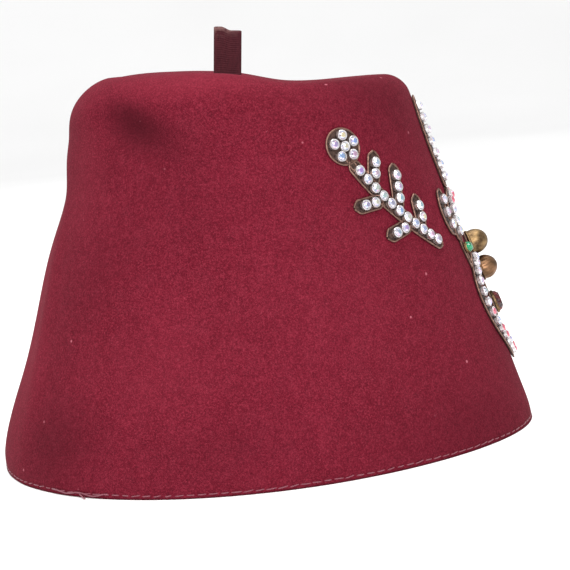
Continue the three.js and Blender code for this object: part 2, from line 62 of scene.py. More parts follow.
def lines_object(name, lines):
    """An object of bare edges, one run of edges for each line of points."""
    edges, start = [], 0
    for points in lines:
        edges += [(start + i, start + i + 1) for i in range(len(points) - 1)]
        start += len(points)
    return mesh_object(name, np.concatenate(lines), [], edges=edges)


def store(piece, name, values, domain="POINT"):
    """Stores a number, or a direction, on each point or face of a piece."""
    values = np.asarray(values, float)
    kind, field = ("FLOAT_VECTOR", "vector") if values.ndim == 2 else ("FLOAT", "value")
    piece.data.attributes.new(name, kind, domain).data.foreach_set(field, values.ravel())


def join_shells(shells):
    """Puts several (points, faces) together as one list of points and one of faces."""
    points, faces, start = [], [], 0
    for shell_points, shell_faces in shells:
        points.append(np.asarray(shell_points, float).reshape(-1, 3))
        faces += [tuple(start + i for i in face) for face in shell_faces]
        start += len(points[-1])
    return np.concatenate(points), faces


def grid_faces(rows, columns, loop_rows=False):
    """Faces of a grid of rings, row by row, closed round its columns and, if asked, over its rows."""
    faces = []
    for row in range(rows if loop_rows else rows - 1):
        low, high = row * columns, (row + 1) % rows * columns
        for i in range(columns):
            after = (i + 1) % columns
            faces.append((low + i, low + after, high + after, high + i))
    return faces


def capped_faces(rows, columns):
    """Faces of a stack of rings that is closed by one flat face at each end."""
    last = (rows - 1) * columns
    caps = [tuple(range(columns))[::-1], tuple(range(last, last + columns))]
    return grid_faces(rows, columns) + caps


def softened(points, rounds):
    """Evens out a line of points, with its two ends held."""
    points = points.copy()
    for _ in range(rounds):
        points[1:-1] = (points[:-2] + 2 * points[1:-1] + points[2:]) / 4
    return points


def dress(piece, finish, slot, *stands_for):
    piece.data.materials.clear()
    piece.data.materials.append(finish)
    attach(piece, "root")
    if stands_for:
        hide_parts(*stands_for)
    print(piece.name, "-", len(piece.data.polygons), "faces")
    return piece


# %% [markdown]
# The felt was steamed over a block, so its wall follows a rule: an oval at the rim, a rounder top, and a
# profile between them that differs at the front, the back and the sides. Three short tables hold that rule,
# and a smooth curve runs between their rows. A fourth lists the soft dents of use.

# %% The rule of the felt
FELT_THICKNESS = 2.6
RIM_ROUNDING = 0.5
WALL_LEVELS = {
    "share": (0.0, 0.05, 0.14, 0.3, 0.55, 0.72, 0.8, 1.0),
    "front": (103.8, 102.6, 98.8, 91.8, 81.0, 74.4, 71.0, 63.0),
    "back": (103.6, 103.4, 99.8, 91.4, 79.4, 71.8, 69.8, 65.6),
    "side": (86.0, 85.6, 83.4, 78.3, 72.2, 67.6, 65.8, 62.0),
}
CROWN_LINE = {
    "x": (-70, -50, -24, -2, 20, 44, 70),
    "height": (140.0, 145.8, 146.0, 143.8, 138.5, 137.6, 138.0),
}
CROWN_HOLLOW = 1.2
SHOULDER = {"front": 7.5, "back": 15.5, "side": 12.0}
EGG, FOREHEAD, TOP_ROUNDNESS = 0.1, 0.07, 0.6
DENTS = [  # azimuth, height, across, up, turn, depth
    (-127, 130, 13, 5.4, -28, 3.2),
    (-95, 131.5, 34, 3.4, 0, 0.6),
    (180, 126, 46, 5.5, 0, 1.6),
    (180, 104, 46, 11, 0, 1.6),
    (-158, 66, 5, 34, 6, -1.1),
    (-88, 92, 30, 20, 0, 0.9),
    (96, 88, 34, 24, 10, 1.0),
]


def table_value(table, key, column, at):
    """A smooth value between the rows of a table."""
    keys, values = np.array(table[key], float), np.array(table[column], float)
    slopes = np.gradient(values, keys)
    slopes[1:-1] = (values[2:] - values[:-2]) / (keys[2:] - keys[:-2])
    x = np.clip(at, keys[0], keys[-1])
    row = np.searchsorted(keys[1:-1], x, side="left")
    span = keys[row + 1] - keys[row]
    t = (x - keys[row]) / span
    rest = 1 - t
    ends = values[row] * (1 + 2 * t) * rest**2 + values[row + 1] * (3 - 2 * t) * t**2
    return ends + span * (slopes[row] * t * rest**2 - slopes[row + 1] * t**2 * rest)


def crown_height(x):
    return table_value(CROWN_LINE, "x", "height", x)


def vectors(x, y, z):
    return np.stack(np.broadcast_arrays(x, y, z), -1)


def wall_point(azimuth, share):
    forward = np.cos(azimuth)
    front = table_value(WALL_LEVELS, "share", "front", share)
    back = table_value(WALL_LEVELS, "share", "back", share)
    side = table_value(WALL_LEVELS, "share", "side", share)
    x = np.where(forward > 0, front, back) * forward
    oval = EGG * forward + FOREHEAD * np.maximum(forward, 0) ** 2
    y = side * np.sin(azimuth) * (1 - oval * (1 - TOP_ROUNDNESS * share))
    return vectors(x, y, share * crown_height(x))


def top_point(azimuth, spread):
    edge = wall_point(azimuth, 1.0)
    x = edge[..., 0] * spread
    return vectors(x, edge[..., 1] * spread, crown_height(x) - CROWN_HOLLOW * (1 - spread**2))


def smooth_felt(azimuth, course):
    """Course runs 0 to 1 up the wall, to 2 over the shoulder and to 3 at the middle of the top."""
    azimuth, course = np.broadcast_arrays(np.asarray(azimuth, float), np.asarray(course, float))
    end = np.where(np.cos(azimuth) > 0, SHOULDER["front"], SHOULDER["back"])
    radius = end * np.cos(azimuth) ** 2 + SHOULDER["side"] * np.sin(azimuth) ** 2
    corner = wall_point(azimuth, 1.0)
    wall_end = 1 - radius / corner[..., 2]
    top_start = 1 - radius / np.hypot(corner[..., 0], corner[..., 1])
    wall = wall_point(azimuth, np.clip(course, 0, 1) * wall_end)
    top = top_point(azimuth, top_start * (3 - np.clip(course, 2, 3)))
    t = np.clip(course - 1, 0, 1)[..., None]
    circle = 0.5523  # the share of a corner that makes a cubic curve round
    low, high = wall_point(azimuth, wall_end), top_point(azimuth, top_start)
    pull, push = low + (corner - low) * circle, high + (corner - high) * circle
    bend = low * (1 - t) ** 3 + 3 * pull * t * (1 - t) ** 2 + 3 * push * t**2 * (1 - t) + high * t**3
    course = course[..., None]
    return np.where(course <= 1, wall, np.where(course >= 2, top, bend))


# %% [markdown]
# A dent is a soft bump that lowers the surface along its normal. The normal comes from two small steps on
# the surface, round the hat and up it. Old felt is never quite even either, so long low waves are added
# from a seeded generator, and a shallow groove is pressed in where the stitches pull at the rim.

# %% Dents, waves and the felt's own points
STITCH_LEVEL = 1.5
GROOVE = {"width": 0.8, "depth": 0.22}
WAVES = {"count": 9, "pace": 0.11, "shift": 3.1, "height": 0.1, "fade": 12}
wave_draws = np.random.default_rng(20).uniform(-1, 1, (WAVES["count"], 4))


def normal_of(surface, azimuth, course, step=1e-3):
    level = np.minimum(course, 3 - 2 * step)
    round_it = surface(azimuth + step, level) - surface(azimuth - step, level)
    above, below = np.minimum(level + step, 3 - step), np.maximum(level - step, 0)
    up_it = surface(azimuth, above) - surface(azimuth, below)
    out = np.cross(round_it, up_it)
    return out / np.linalg.norm(out, axis=-1, keepdims=True)


def soft_spots(point, spots):
    """The sum of soft spots round the hat. Each has a place, a size each way, a turn and a strength."""
    azimuth = np.arctan2(point[..., 1], point[..., 0])
    distance = np.hypot(point[..., 0], point[..., 1])
    total = np.zeros(azimuth.shape)
    for middle, height, across_size, up_size, turn, strength in spots:
        away = azimuth - math.radians(middle)
        across = np.arctan2(np.sin(away), np.cos(away)) * distance
        up = point[..., 2] - height
        c, s = math.cos(math.radians(turn)), math.sin(math.radians(turn))
        along, over = (across * c + up * s) / across_size, (up * c - across * s) / up_size
        total += strength * np.exp(-(along**2 + over**2) / 2)
    return total


def wave_depth(point):
    """Low unevenness of used felt, up to about 0.3 mm, fading out at the rim so that it stands flat."""
    total = np.zeros(point.shape[:-1])
    for a, b, c, phase in wave_draws:
        slow = point[..., 0] * a + point[..., 1] * b + point[..., 2] * c
        total += np.sin(slow * WAVES["pace"] + phase * WAVES["shift"])
    return WAVES["height"] * total * np.clip(point[..., 2] / WAVES["fade"], 0, 1)


def felt_point(azimuth, course):
    point = smooth_felt(azimuth, course)
    depth = soft_spots(point, DENTS) + wave_depth(point)
    return point - normal_of(smooth_felt, azimuth, course) * depth[..., None]


def felt_normal(azimuth, course):
    return normal_of(felt_point, azimuth, course)


print("felt height, mm:", round(float(felt_point(math.pi, 1.6)[2]), 1))

# %% [markdown]
# The crown could be a cone pushed about by modifiers, but a shape that follows a rule is best laid out as
# rings. One strip of rings runs from the slot in the top, down the inside, round the rim, up the outside
# and back to the slot, and closes on itself. So the wall has its real thickness, the rim its rounded
# corners, and no pole is left to pinch. The rings lie closest at the rim and on the shoulder.

# %% The crown's rings
AROUND = 400
TAB = {"x": -3.5, "width": 10.6, "height": 18.2, "lean": 5.6, "step": 1.4}
TAB |= {"ribbon": 0.9, "opening": 1.2, "foot": 6.5}
SLOT_GAP, SLOT_ROUNDNESS = 0.3, 0.28
WALL_RUN = 140
azimuths = np.arange(AROUND) * 2 * np.pi / AROUND
tab_thickness = 2 * TAB["ribbon"] + TAB["opening"]


def felt_rings(courses, inset=0.0, groove=0.0):
    """Rings of the felt at a list of courses, all at once, set in along the smooth normal."""
    azimuth, course = np.meshgrid(azimuths, np.asarray(courses, float))
    points = felt_point(azimuth, course)
    press = inset + groove * np.exp(-(((points[..., 2] - STITCH_LEVEL) / GROOVE["width"]) ** 2))
    return list(points - normal_of(smooth_felt, azimuth, course) * press[..., None])


def rim_ring(inset, height):
    flat = felt_normal(azimuths, np.zeros(AROUND)) * (1, 1, 0)
    points = felt_point(azimuths, np.zeros(AROUND)) - flat * inset
    points[:, 2] = height
    return points


def slot_ring(grow, drop):
    """A rounded oblong round the ribbon, grown by a margin and lowered from the top of the felt."""
    c, s = np.cos(azimuths), np.sin(azimuths)
    x = TAB["x"] + (TAB["width"] / 2 + grow) * np.sign(c) * np.abs(c) ** SLOT_ROUNDNESS
    y = (tab_thickness / 2 + grow) * np.sign(s) * np.abs(s) ** SLOT_ROUNDNESS
    return vectors(x, y, crown_height(x) - CROWN_HOLLOW - drop)


def towards_slot(ring, slot, shares):
    return [ring + (slot - ring) * share for share in shares]


shares = (0.25, 0.5, 0.72, 0.9)
corner = np.linspace(0, 1, 5) * np.pi / 2
near_rim = (0.0, 0.3, 0.6, 0.9, 1.2, 1.5, 1.9, 2.4, 3.0, 4.0)
outer_courses = [(RIM_ROUNDING + height) / WALL_RUN for height in near_rim]
for start, end, count in ((0.045, 1, 95), (1, 2, 21), (2, 2.84, 22)):
    outer_courses += list(np.linspace(start, end, count, endpoint=end > 2))
inner_courses = []
for start, end, count in ((0.012, 1, 25), (1, 2, 8), (2, 2.84, 10)):
    inner_courses += list(np.linspace(start, end, count, endpoint=end > 2))
outer = felt_rings(outer_courses, groove=GROOVE["depth"])
inner = felt_rings(inner_courses, inset=FELT_THICKNESS)
rim_inside, rim_outside = [], []
for sine, cosine in zip(RIM_ROUNDING * (1 - np.sin(corner)), RIM_ROUNDING * (1 - np.cos(corner))):
    rim_inside.append(rim_ring(FELT_THICKNESS - cosine, sine))
    rim_outside.append(rim_ring(sine, cosine))
lip_top, lip_side = slot_ring(SLOT_GAP + 0.5, 0.02), slot_ring(SLOT_GAP, 0.5)
lip_low = slot_ring(SLOT_GAP, FELT_THICKNESS)
rings = [lip_side, slot_ring(SLOT_GAP, 1.5), lip_low]
rings += towards_slot(inner[-1], lip_low, shares)[::-1]
rings += inner[::-1] + rim_inside + rim_outside[:-1] + outer
rings += towards_slot(outer[-1], lip_top, shares) + [lip_top, slot_ring(SLOT_GAP + 0.15, 0.12)]
crown = mesh_object("crown_felt", np.concatenate(rings), grid_faces(len(rings), AROUND, loop_rows=True))
print("crown:", len(rings), "rings of", AROUND, "points")

# %% [markdown]
# Light and shade are painted into the nap: it is painted paler on the ridges, the edges and the top of the
# shoulder, and darker in the dimple, under the shoulder and at the foot of the slopes. One row is a thin
# pale scuff low on the near side. Each such spot is a row of a list, in the same form as the dents. Their sum
# is stored on the crown's points, where the felt's finish reads it.

# %% Painted light and shade on the nap, and one pale scuff
PAINTED_SHADING_AND_SCUFF = [  # azimuth, height, across, up, turn, light gained or lost
    (-104, 142, 34, 4.5, 0, 0.3),
    (-48, 135, 16, 6, 0, -0.14),
    (-128, 129.5, 12, 5.5, -26, -0.4),
    (-114, 123, 13, 6, -22, -0.16),
    (-146, 112, 9, 16, 0, 0.2),
    (-176, 72, 15, 32, 0, 0.34),
    (-160, 38, 9, 16, 0, 0.26),
    (-131, 78, 16, 18, 0, -0.1),
    (-142, 18, 16, 11, 0, -0.26),
    (-98, 16, 22, 9, 0, -0.12),
    (-76.5, 16, 0.9, 5, 0, 0.22),
    (-62, 62, 20, 22, 0, 0.08),
    (-118, 45, 18, 16, 0, 0.14),
    (-106, 100, 14, 9, 0, -0.1),
    (-34, 8, 26, 12, 0, -0.2),
    (-28, 124, 14, 12, 0, -0.2),
    (40, 30, 30, 20, 0, -0.12),
    (120, 138, 30, 8, 0, 0.16),
]
# These values are painted light and shade on the felt, and one thin pale scuff.
store(crown, "rubbed", soft_spots(np.concatenate(rings), PAINTED_SHADING_AND_SCUFF))
print("rubbed places:", len(PAINTED_SHADING_AND_SCUFF))

# %% [markdown]
# Which way the strip's faces look depends on the order of its rings, so it is measured: the volume that
# the faces enclose is positive when they look outwards. Where it isn't, the mesh is flipped.

# %% Faces outwards
def volume_of(mesh):
    mesh.calc_loop_triangles()
    corners = np.empty(len(mesh.loop_triangles) * 3, int)
    mesh.loop_triangles.foreach_get("vertices", corners)
    points = np.empty(len(mesh.vertices) * 3)
    mesh.vertices.foreach_get("co", points)
    a, b, c = points.reshape(-1, 3)[corners.reshape(-1, 3)].transpose(1, 0, 2)
    return float((a * np.cross(b, c)).sum() / 6)


def face_outwards(piece):
    if volume_of(piece.data) < 0:
        piece.data.flip_normals()
    return piece


face_outwards(crown)
print("felt volume, cm3:", round(volume_of(crown.data) * 1e6, 1))

# %% [markdown]
# Materials are built by small helpers. `Finish` holds one material's node tree and gives short words for
# the nodes that most finishes need: the object's own coordinates, noise at a size in millimetres, a ramp
# between two values, a mix of two colours and a bump. Colours are written as they look on a screen, and
# made linear here.

# %% Helpers for materials
def linear(*screen):
    """A colour as a screen shows it, 0 to 255, made linear."""
    shares = (v / 255 for v in screen)
    return tuple(v / 12.92 if v <= 0.04045 else ((v + 0.055) / 1.055) ** 2.4 for v in shares) + (1.0,)


def add_node(tree, kind, inputs, settings):
    """Adds a node. An input is linked where it is given a socket, and set where it is given a value."""
    node = tree.nodes.new(kind)
    for key, value in settings.items():
        setattr(node, key, value)
    for key, value in (inputs or {}).items():
        if isinstance(value, bpy.types.NodeSocket):
            tree.links.new(value, node.inputs[key])
        else:
            node.inputs[key].default_value = value
    return node


class Finish:
    def __init__(self, name, **sockets):
        self.material = bpy.data.materials.new(name)
        self.material.use_nodes = True
        self.tree = self.material.node_tree
        self.shader = self.tree.nodes["Principled BSDF"]
        self.place = self.add("ShaderNodeTexCoord").outputs["Object"]
        for socket, value in sockets.items():
            self.shader.inputs[socket.replace("_", " ")].default_value = value

    def add(self, kind, inputs=None, **settings):
        return add_node(self.tree, kind, inputs, settings)

    def noise(self, size_mm, detail=3.0, roughness=0.55, place=None, distortion=0.0):
        inputs = {"Vector": place or self.place, "Scale": 1 / (size_mm * MM), "Detail": detail}
        inputs |= {"Roughness": roughness, "Distortion": distortion}
        return self.add("ShaderNodeTexNoise", inputs).outputs["Fac"]

    def ramp(self, value, low, high, out_low=0.0, out_high=1.0):
        """Turns a value between low and high into one between out_low and out_high, held at both ends."""
        inputs = {"Value": value, "From Min": low, "From Max": high, "To Min": out_low, "To Max": out_high}
        return self.add("ShaderNodeMapRange", inputs, clamp=True).outputs["Result"]

    def math(self, a, b, operation):
        return self.add("ShaderNodeMath", {0: a, 1: b}, operation=operation).outputs[0]

    def times(self, a, b):
        return self.math(a, b, "MULTIPLY")

    def stored(self, name):
        """A value that is stored on the piece."""
        return self.add("ShaderNodeAttribute", attribute_name=name).outputs["Fac"]

    def colour(self, factor, a, b):
        return self.add("ShaderNodeMix", {0: factor, 6: a, 7: b}, data_type="RGBA").outputs[2]

    def bump(self, height, depth_mm, strength=1.0):
        inputs = {"Height": height, "Distance": depth_mm * MM, "Strength": strength}
        return self.add("ShaderNodeBump", inputs).outputs["Normal"]

    def plug(self, socket, output):
        self.tree.links.new(output, self.shader.inputs[socket])

    def paint(self, factor, low, high):
        """The base colour, from one screen colour to another."""
        self.plug("Base Color", self.colour(factor, linear(*low), linear(*high)))


# %% [markdown]
# Wool felt is matt, with a fine nap that catches light at a grazing angle, so it has a high roughness and a
# little sheen. Its colour isn't one red: the nap lies in soft patches, a finer grain runs through it, dust
# and pale lint sit on it, and it is painted darker in the last millimetre above the rim. Light and shade are
# painted on it too, from the spots stored on the crown. The bump has the grain and the single hairs.

# %% The felt's finish
felt = Finish("crimson_felt", Roughness=0.95, Sheen_Weight=0.04, Sheen_Roughness=0.4)
felt.shader.inputs["Sheen Tint"].default_value = linear(206, 110, 124)
felt.shader.inputs["Specular IOR Level"].default_value = 0.06
PALE_NAP, DARK_NAP = linear(128, 40, 55), linear(55, 9, 18)
clouds, streaks = felt.noise(6, 4, 0.6), felt.noise(2.6, 4, 0.66)
grain, hairs = felt.noise(0.62, 4, 0.72), felt.noise(0.34, 3, 0.6, distortion=1.4)
# The stored spots are painted light and shade, with one pale scuff.
tone_mask = felt.stored("rubbed")
LAYERS = (  # field, where it starts, where it is full, strength, colour
    (clouds, 0.45, 0.68, 0.22, linear(104, 31, 45)),
    (streaks, 0.5, 0.7, 0.22, PALE_NAP),
    (streaks, 0.48, 0.3, 0.22, DARK_NAP),
    (grain, 0.5, 0.66, 0.6, PALE_NAP),
    (grain, 0.5, 0.34, 0.55, DARK_NAP),
    (hairs, 0.6, 0.72, 0.6, linear(150, 66, 80)),
    # The next two rows paint that light and shade: paler and darker nap where the stored spots say.
    (tone_mask, 0, 0.5, 0.45, PALE_NAP),
    (tone_mask, 0, -0.5, 0.85, DARK_NAP),
)
red = felt.colour(felt.ramp(felt.noise(26, 3), 0.34, 0.66), linear(86, 15, 29), linear(93, 18, 33))
for field, start, full, strength, tone in LAYERS:
    red = felt.colour(felt.ramp(field, start, full, 0, strength), red, tone)
LINT = {"cell": 11, "start": 0.06, "full": 0.035, "strength": 0.6}
specks = {"Vector": felt.place, "Scale": 1 / (LINT["cell"] * MM), "Randomness": 1.0}
specks = felt.add("ShaderNodeTexVoronoi", specks)
lint = felt.ramp(specks.outputs["Distance"], LINT["start"], LINT["full"])
chosen = felt.add("ShaderNodeSeparateColor", {"Color": specks.outputs["Color"]}).outputs["Red"]
lint = felt.times(lint, felt.ramp(chosen, 0.45, 0.75))
red = felt.colour(felt.times(lint, LINT["strength"]), red, linear(186, 108, 120))
# The last millimetre above the rim is painted darker.
height = felt.add("ShaderNodeSeparateXYZ", {"Vector": felt.place}).outputs["Z"]
red = felt.colour(felt.ramp(height, 1.0 * MM, 0.35 * MM, 0, 0.7), red, DARK_NAP)
felt.plug("Base Color", red)
nap = felt.math(grain, felt.times(hairs, 0.6), "ADD")
felt.plug("Normal", felt.bump(nap, 0.16, 0.75))
dress(crown, felt.material, "crimson_felt", "felt_crown")

# %% [markdown]
# The ornaments lie on the felt, so they are drawn on a chart of it: across runs towards the wearer's left
# and up runs up the slope, both in millimetres from the ornament's middle. The chart also gives a height
# over the felt. Everything that is drawn on it then bends with the hat.

# %% A chart of the felt
def course_at(azimuth, height):
    low, high = 0.0, 1.0
    for _ in range(30):
        middle = (low + high) / 2
        low, high = (middle, high) if felt_point(azimuth, middle)[..., 2] < height else (low, middle)
    return low


class Chart:
    def __init__(self, azimuth, height, side):
        self.azimuth, self.side, self.step = math.radians(azimuth) * side, side, 0.02
        self.course = course_at(self.azimuth, height)
        above, below = self.course + self.step, self.course - self.step
        reach = felt_point(self.azimuth, above) - felt_point(self.azimuth, below)
        self.slope = float(np.linalg.norm(reach)) / (2 * self.step)

    def girth(self, azimuth, level):
        reach = smooth_felt(azimuth + self.step, level) - smooth_felt(azimuth - self.step, level)
        return np.linalg.norm(reach, axis=-1) / (2 * self.step)

    def at(self, across, up, lift=0.0):
        across, up, lift = np.broadcast_arrays(np.asarray(across, float), up, lift)
        level = self.course + up / self.slope
        middle = np.full(across.shape, self.azimuth)
        halfway = middle + across * self.side / self.girth(middle, level) / 2
        turn = middle + across * self.side / self.girth(halfway, level)
        return felt_point(turn, level) + felt_normal(turn, level) * lift[..., None]

    def axes(self, across, up):
        """Unit vectors across, up and out of the felt at places on the chart, with the handedness kept."""
        near = 0.5
        out = self.at(across, up, 1.0) - self.at(across, up, 0.0)
        rise = self.at(across, np.asarray(up) + near) - self.at(across, np.asarray(up) - near)
        rise = rise - out * (rise * out).sum(-1, keepdims=True)
        rise = rise / np.linalg.norm(rise, axis=-1, keepdims=True)
        return np.cross(rise, out), rise, out


front = Chart(0, 84, 1)
sides = {"right": Chart(-46, 97, 1), "left": Chart(-46, 97, -1)}
print("front chart starts at", [round(float(v), 1) for v in front.at(0.0, 0.0)])

# %% [markdown]
# Each row of stones follows one smooth curve through four control points. Spaced evenly along it, the
# stones stand a pitch apart. The front ornament is given for the wearer's right and mirrored.

# %% The rows and the links between them
PITCH, STONE, TRAY, TIP, LINK = 4.15, 3.9, 5.2, 2.4, 2.6
FRONT_ROWS = {
    "stem": ((-8.8, 42), (-10.5, 37), (-11.5, 26), (-9.5, 13.5)),
    "bud_leaf": ((-23.6, 6), (-24.8, 3), (-25, -1), (-23.8, -4)),
    "wing": ((-10, 6), (-15, 5), (-18.6, 0), (-18.6, -7.6)),
    "leaf": ((-9.5, -20), (-25, -25), (-24.5, -46), (-2.1, -60)),
}
FRONT_LINKS = {
    "bud_stalk": ((-24, 1), (-22, 0), (-20, -2), (-17.6, -3)),
    "collar": ((-9.8, 9.5), (-7, 9), (-4, 8), (1, 8)),
    "wing_tip": ((-18.6, -8), (-18.6, -12), (-18.4, -16), (-17, -22.5)),
    "boss_arm": ((-10, -20), (-8, -20), (-5, -20), (1, -20)),
    "leaf_tip": ((-3, -60.1), (-2, -60.9), (0, -61.3), (1, -61.3)),
}
SIDE_STEM = ((16, -22), (7, -16), (-5, -5), (-12.5, 9))
# Each leaf of a side: its share of the stem, the side it stands on and its length.
SIDE_LEAVES = ((0.16, -1, 4.2), (0.32, 1, 4.2), (0.47, -1, 8.4), (0.66, 1, 4.2), (0.8, -1, 4.2))
LEAF = {"angle": 55, "start": 5.4}
SIDE_LINKS = {"stalk": ((-12.2, 8), (-13.4, 10), (-14.6, 13), (-15.5, 16))}
FLOWER = {"across": -15.8, "up": 18.6, "petals": 5, "margin": 0.7, "lift": 0.06}


class Path:
    """A cubic curve on a chart, read by its length."""

    def __init__(self, points, mirror=1):
        a, b, c, d = (np.array(p, float) * (mirror, 1) for p in points)
        t = np.linspace(0, 1, 401)[:, None]
        self.points = a * (1 - t) ** 3 + 3 * b * t * (1 - t) ** 2 + 3 * c * t**2 * (1 - t) + d * t**3
        steps = np.linalg.norm(np.diff(self.points, axis=0), axis=1)
        self.run = np.concatenate([[0], np.cumsum(steps)])
        self.length = self.run[-1]

    def point(self, distance):
        return np.stack([np.interp(distance, self.run, self.points[:, k]) for k in (0, 1)], -1)

    def at(self, distance, near=0.05):
        """Points and directions at distances along the path, which runs on straight past its ends."""
        distance = np.asarray(distance, float)
        inside = np.clip(distance, 0, self.length)
        middle = np.clip(inside, near, self.length - near)
        way = self.point(middle + near) - self.point(middle - near)
        way /= np.linalg.norm(way, axis=-1, keepdims=True)
        return self.point(inside) + way * (distance - inside)[:, None], way

    def stones(self):
        count = int(self.length // PITCH) + 1
        return self.at(np.linspace(0, self.length, count))


SIDE_ROWS = {"stem": SIDE_STEM}
side_stem = Path(SIDE_STEM)
for number, (share, side, length) in enumerate(SIDE_LEAVES):
    (root,), (way,) = side_stem.at([share * side_stem.length])
    c, s = math.cos(math.radians(LEAF["angle"])), math.sin(math.radians(LEAF["angle"])) * side
    lean_way = np.array([way[0] * c - way[1] * s, way[0] * s + way[1] * c])
    SIDE_ROWS[f"leaf_{number}"] = [root + lean_way * (LEAF["start"] + length * k / 3) for k in range(4)]
print("stones on a leaf of the front:", len(Path(FRONT_ROWS["leaf"]).stones()[0]))

# %% [markdown]
# A tray is a thin strip of brown metal that narrows to a tip at each end, with a wire soldered along both
# edges. The strip is laid out here, section by section. The wires follow paths, so a short Geometry Nodes
# tree sweeps a round section along them: its inputs are the wire's radius, its sides and the material.

# %% A Geometry Nodes helper
class Tree:
    def __init__(self, name, **inputs):
        self.group = bpy.data.node_groups.new(name, "GeometryNodeTree")
        face = self.group.interface
        face.new_socket("Geometry", in_out="INPUT", socket_type="NodeSocketGeometry")
        face.new_socket("Geometry", in_out="OUTPUT", socket_type="NodeSocketGeometry")
        self.keys = {}
        for key, kind in inputs.items():
            socket = face.new_socket(key.replace("_", " "), in_out="INPUT", socket_type="NodeSocket" + kind)
            self.keys[key] = socket.identifier
        self.source = self.group.nodes.new("NodeGroupInput")
        self.sink = self.group.nodes.new("NodeGroupOutput")

    def given(self, key):
        return self.source.outputs[key.replace("_", " ")]

    def add(self, kind, inputs=None, **settings):
        """Adds a node and gives back its first output."""
        return add_node(self.group, kind, inputs, settings).outputs[0]

    def times(self, a, b):
        return self.add("ShaderNodeMath", {0: a, 1: b}, operation="MULTIPLY")

    def stored(self, name, kind="FLOAT_VECTOR"):
        """A value that is stored on the points."""
        return self.add("GeometryNodeInputNamedAttribute", {"Name": name}, data_type=kind)

    def chance(self, low, high):
        """A random vector between two others, drawn from the tree's own seed."""
        inputs = {0: low, 1: high, "Seed": self.given("Seed")}
        return self.add("FunctionNodeRandomValue", inputs, data_type="FLOAT_VECTOR")

    def stance(self, out, along, extra):
        """A rotation that stands up along one direction and faces another, and then turns by a little."""
        ways = {"primary_axis": "Z", "secondary_axis": "X"}
        facing = self.add("FunctionNodeAxesToRotation", {0: out, 1: along}, **ways)
        return self.add("FunctionNodeRotateRotation", {0: facing, 1: extra}, rotation_space="LOCAL")

    def line(self):
        return self.add("GeometryNodeMeshToCurve", {"Mesh": self.given("Geometry")})

    def sweep(self, curve, sides, radius):
        """A round wire or thread along a curve, closed at its ends."""
        ring = self.add("GeometryNodeCurvePrimitiveCircle", {"Resolution": sides, "Radius": radius})
        return self.add("GeometryNodeCurveToMesh", {"Curve": curve, "Profile Curve": ring, "Fill Caps": True})

    def end(self, geometry):
        """Every tree ends by making its instances real and giving them their material."""
        real = self.add("GeometryNodeRealizeInstances", {"Geometry": geometry})
        dressed = self.add("GeometryNodeSetMaterial", {"Geometry": real, "Material": self.given("Finish")})
        self.group.links.new(dressed, self.sink.inputs[0])

    def run(self, piece, **values):
        """Runs the tree on a piece and gives back a plain mesh under the same name."""
        modifier = piece.modifiers.new(self.group.name, "NODES")
        modifier.node_group = self.group
        for key, value in values.items():
            modifier[self.keys[key]] = value
        bpy.context.view_layer.update()
        made = piece.evaluated_get(bpy.context.evaluated_depsgraph_get())
        mesh = bpy.data.meshes.new_from_object(made)
        piece.modifiers.remove(modifier)
        old = piece.data
        piece.data = mesh
        bpy.data.meshes.remove(old)
        mesh.name = piece.name
        return piece


wire_tree = Tree("wire", Radius="Float", Sides="Int", Finish="Material")
wire_tree.end(wire_tree.sweep(wire_tree.line(), wire_tree.given("Sides"), wire_tree.given("Radius")))
print("wire tree inputs:", list(wire_tree.keys))

# %% [markdown]
# The next cell lays out trays, links and plates on a chart. Each strip's top dips a little towards its
# middle, as thin sheet does between two soldered wires, and each wire lies on the strip's edge and meets
# its twin in a point past the strip's end. Strips that cross are fused on the real ornament. Here each one
# lies a hair higher than the last, so that no two faces share a place.

# %% Strips and their wire edges
SEATING, PLATE_TOP, WIRE, NARROW = 0.3, 0.82, 0.36, 0.4
SECTION = 7
STRIP_STEP = 0.55


def strip(chart, path, width, tip, extra, lift):
    """A tray's strip and the two lines of its wires, for a path that runs on by extra and then narrows."""
    reach = extra + tip
    along = np.linspace(-reach, path.length + reach, max(int((path.length + 2 * reach) / STRIP_STEP), 8))
    past = np.maximum(-extra - along, along - path.length - extra)
    share = np.clip(past / max(tip, 0.01), 0, 1)
    half = width / 2 + (NARROW - width / 2) * share**1.6
    point, way = path.at(along)
    left = np.stack([-way[:, 1], way[:, 0]], -1)
    # The first seven columns go round the strip's section. The last two are its wires.
    offsets = np.array([1, -1, -1, -0.5, 0, 0.5, 1, 1, -1])
    inwards = np.array([0, 0, 0, 0, 0, 0, 0, -WIRE / 3, WIRE / 3])
    dip = np.array([0, 0, 0, 0.1, 0.14, 0.1, 0, 0.02, 0.02])
    heights = np.where(np.arange(len(dip)) < 2, SEATING, PLATE_TOP - dip) + lift
    spots = point[:, None] + left[:, None] * (half[:, None] * offsets + inwards)[..., None]
    laid = chart.at(spots[..., 0], spots[..., 1], heights)
    shell = laid[:, :SECTION].reshape(-1, 3), capped_faces(len(along), SECTION)
    return shell, [laid[:, SECTION], laid[:, SECTION + 1]]


def disc(chart, across, up, radius, lift, count=48):
    """A round plate and the line of the wire round it."""

    def ring(reach, height, angle):
        return chart.at(across + reach * np.cos(angle), up + reach * np.sin(angle), height + lift)

    angle = np.arange(count) * 2 * np.pi / count
    dished = ((1, PLATE_TOP), (0.6, PLATE_TOP - 0.08), (0.02, PLATE_TOP - 0.1))
    rows = [ring(radius * share, height, angle) for share, height in ((0.02, SEATING), (1, SEATING), *dished)]
    wire = ring(radius - WIRE / 3, PLATE_TOP - 0.02, np.append(angle, angle[:1]))
    return (np.concatenate(rows), capped_faces(len(rows), count)), wire


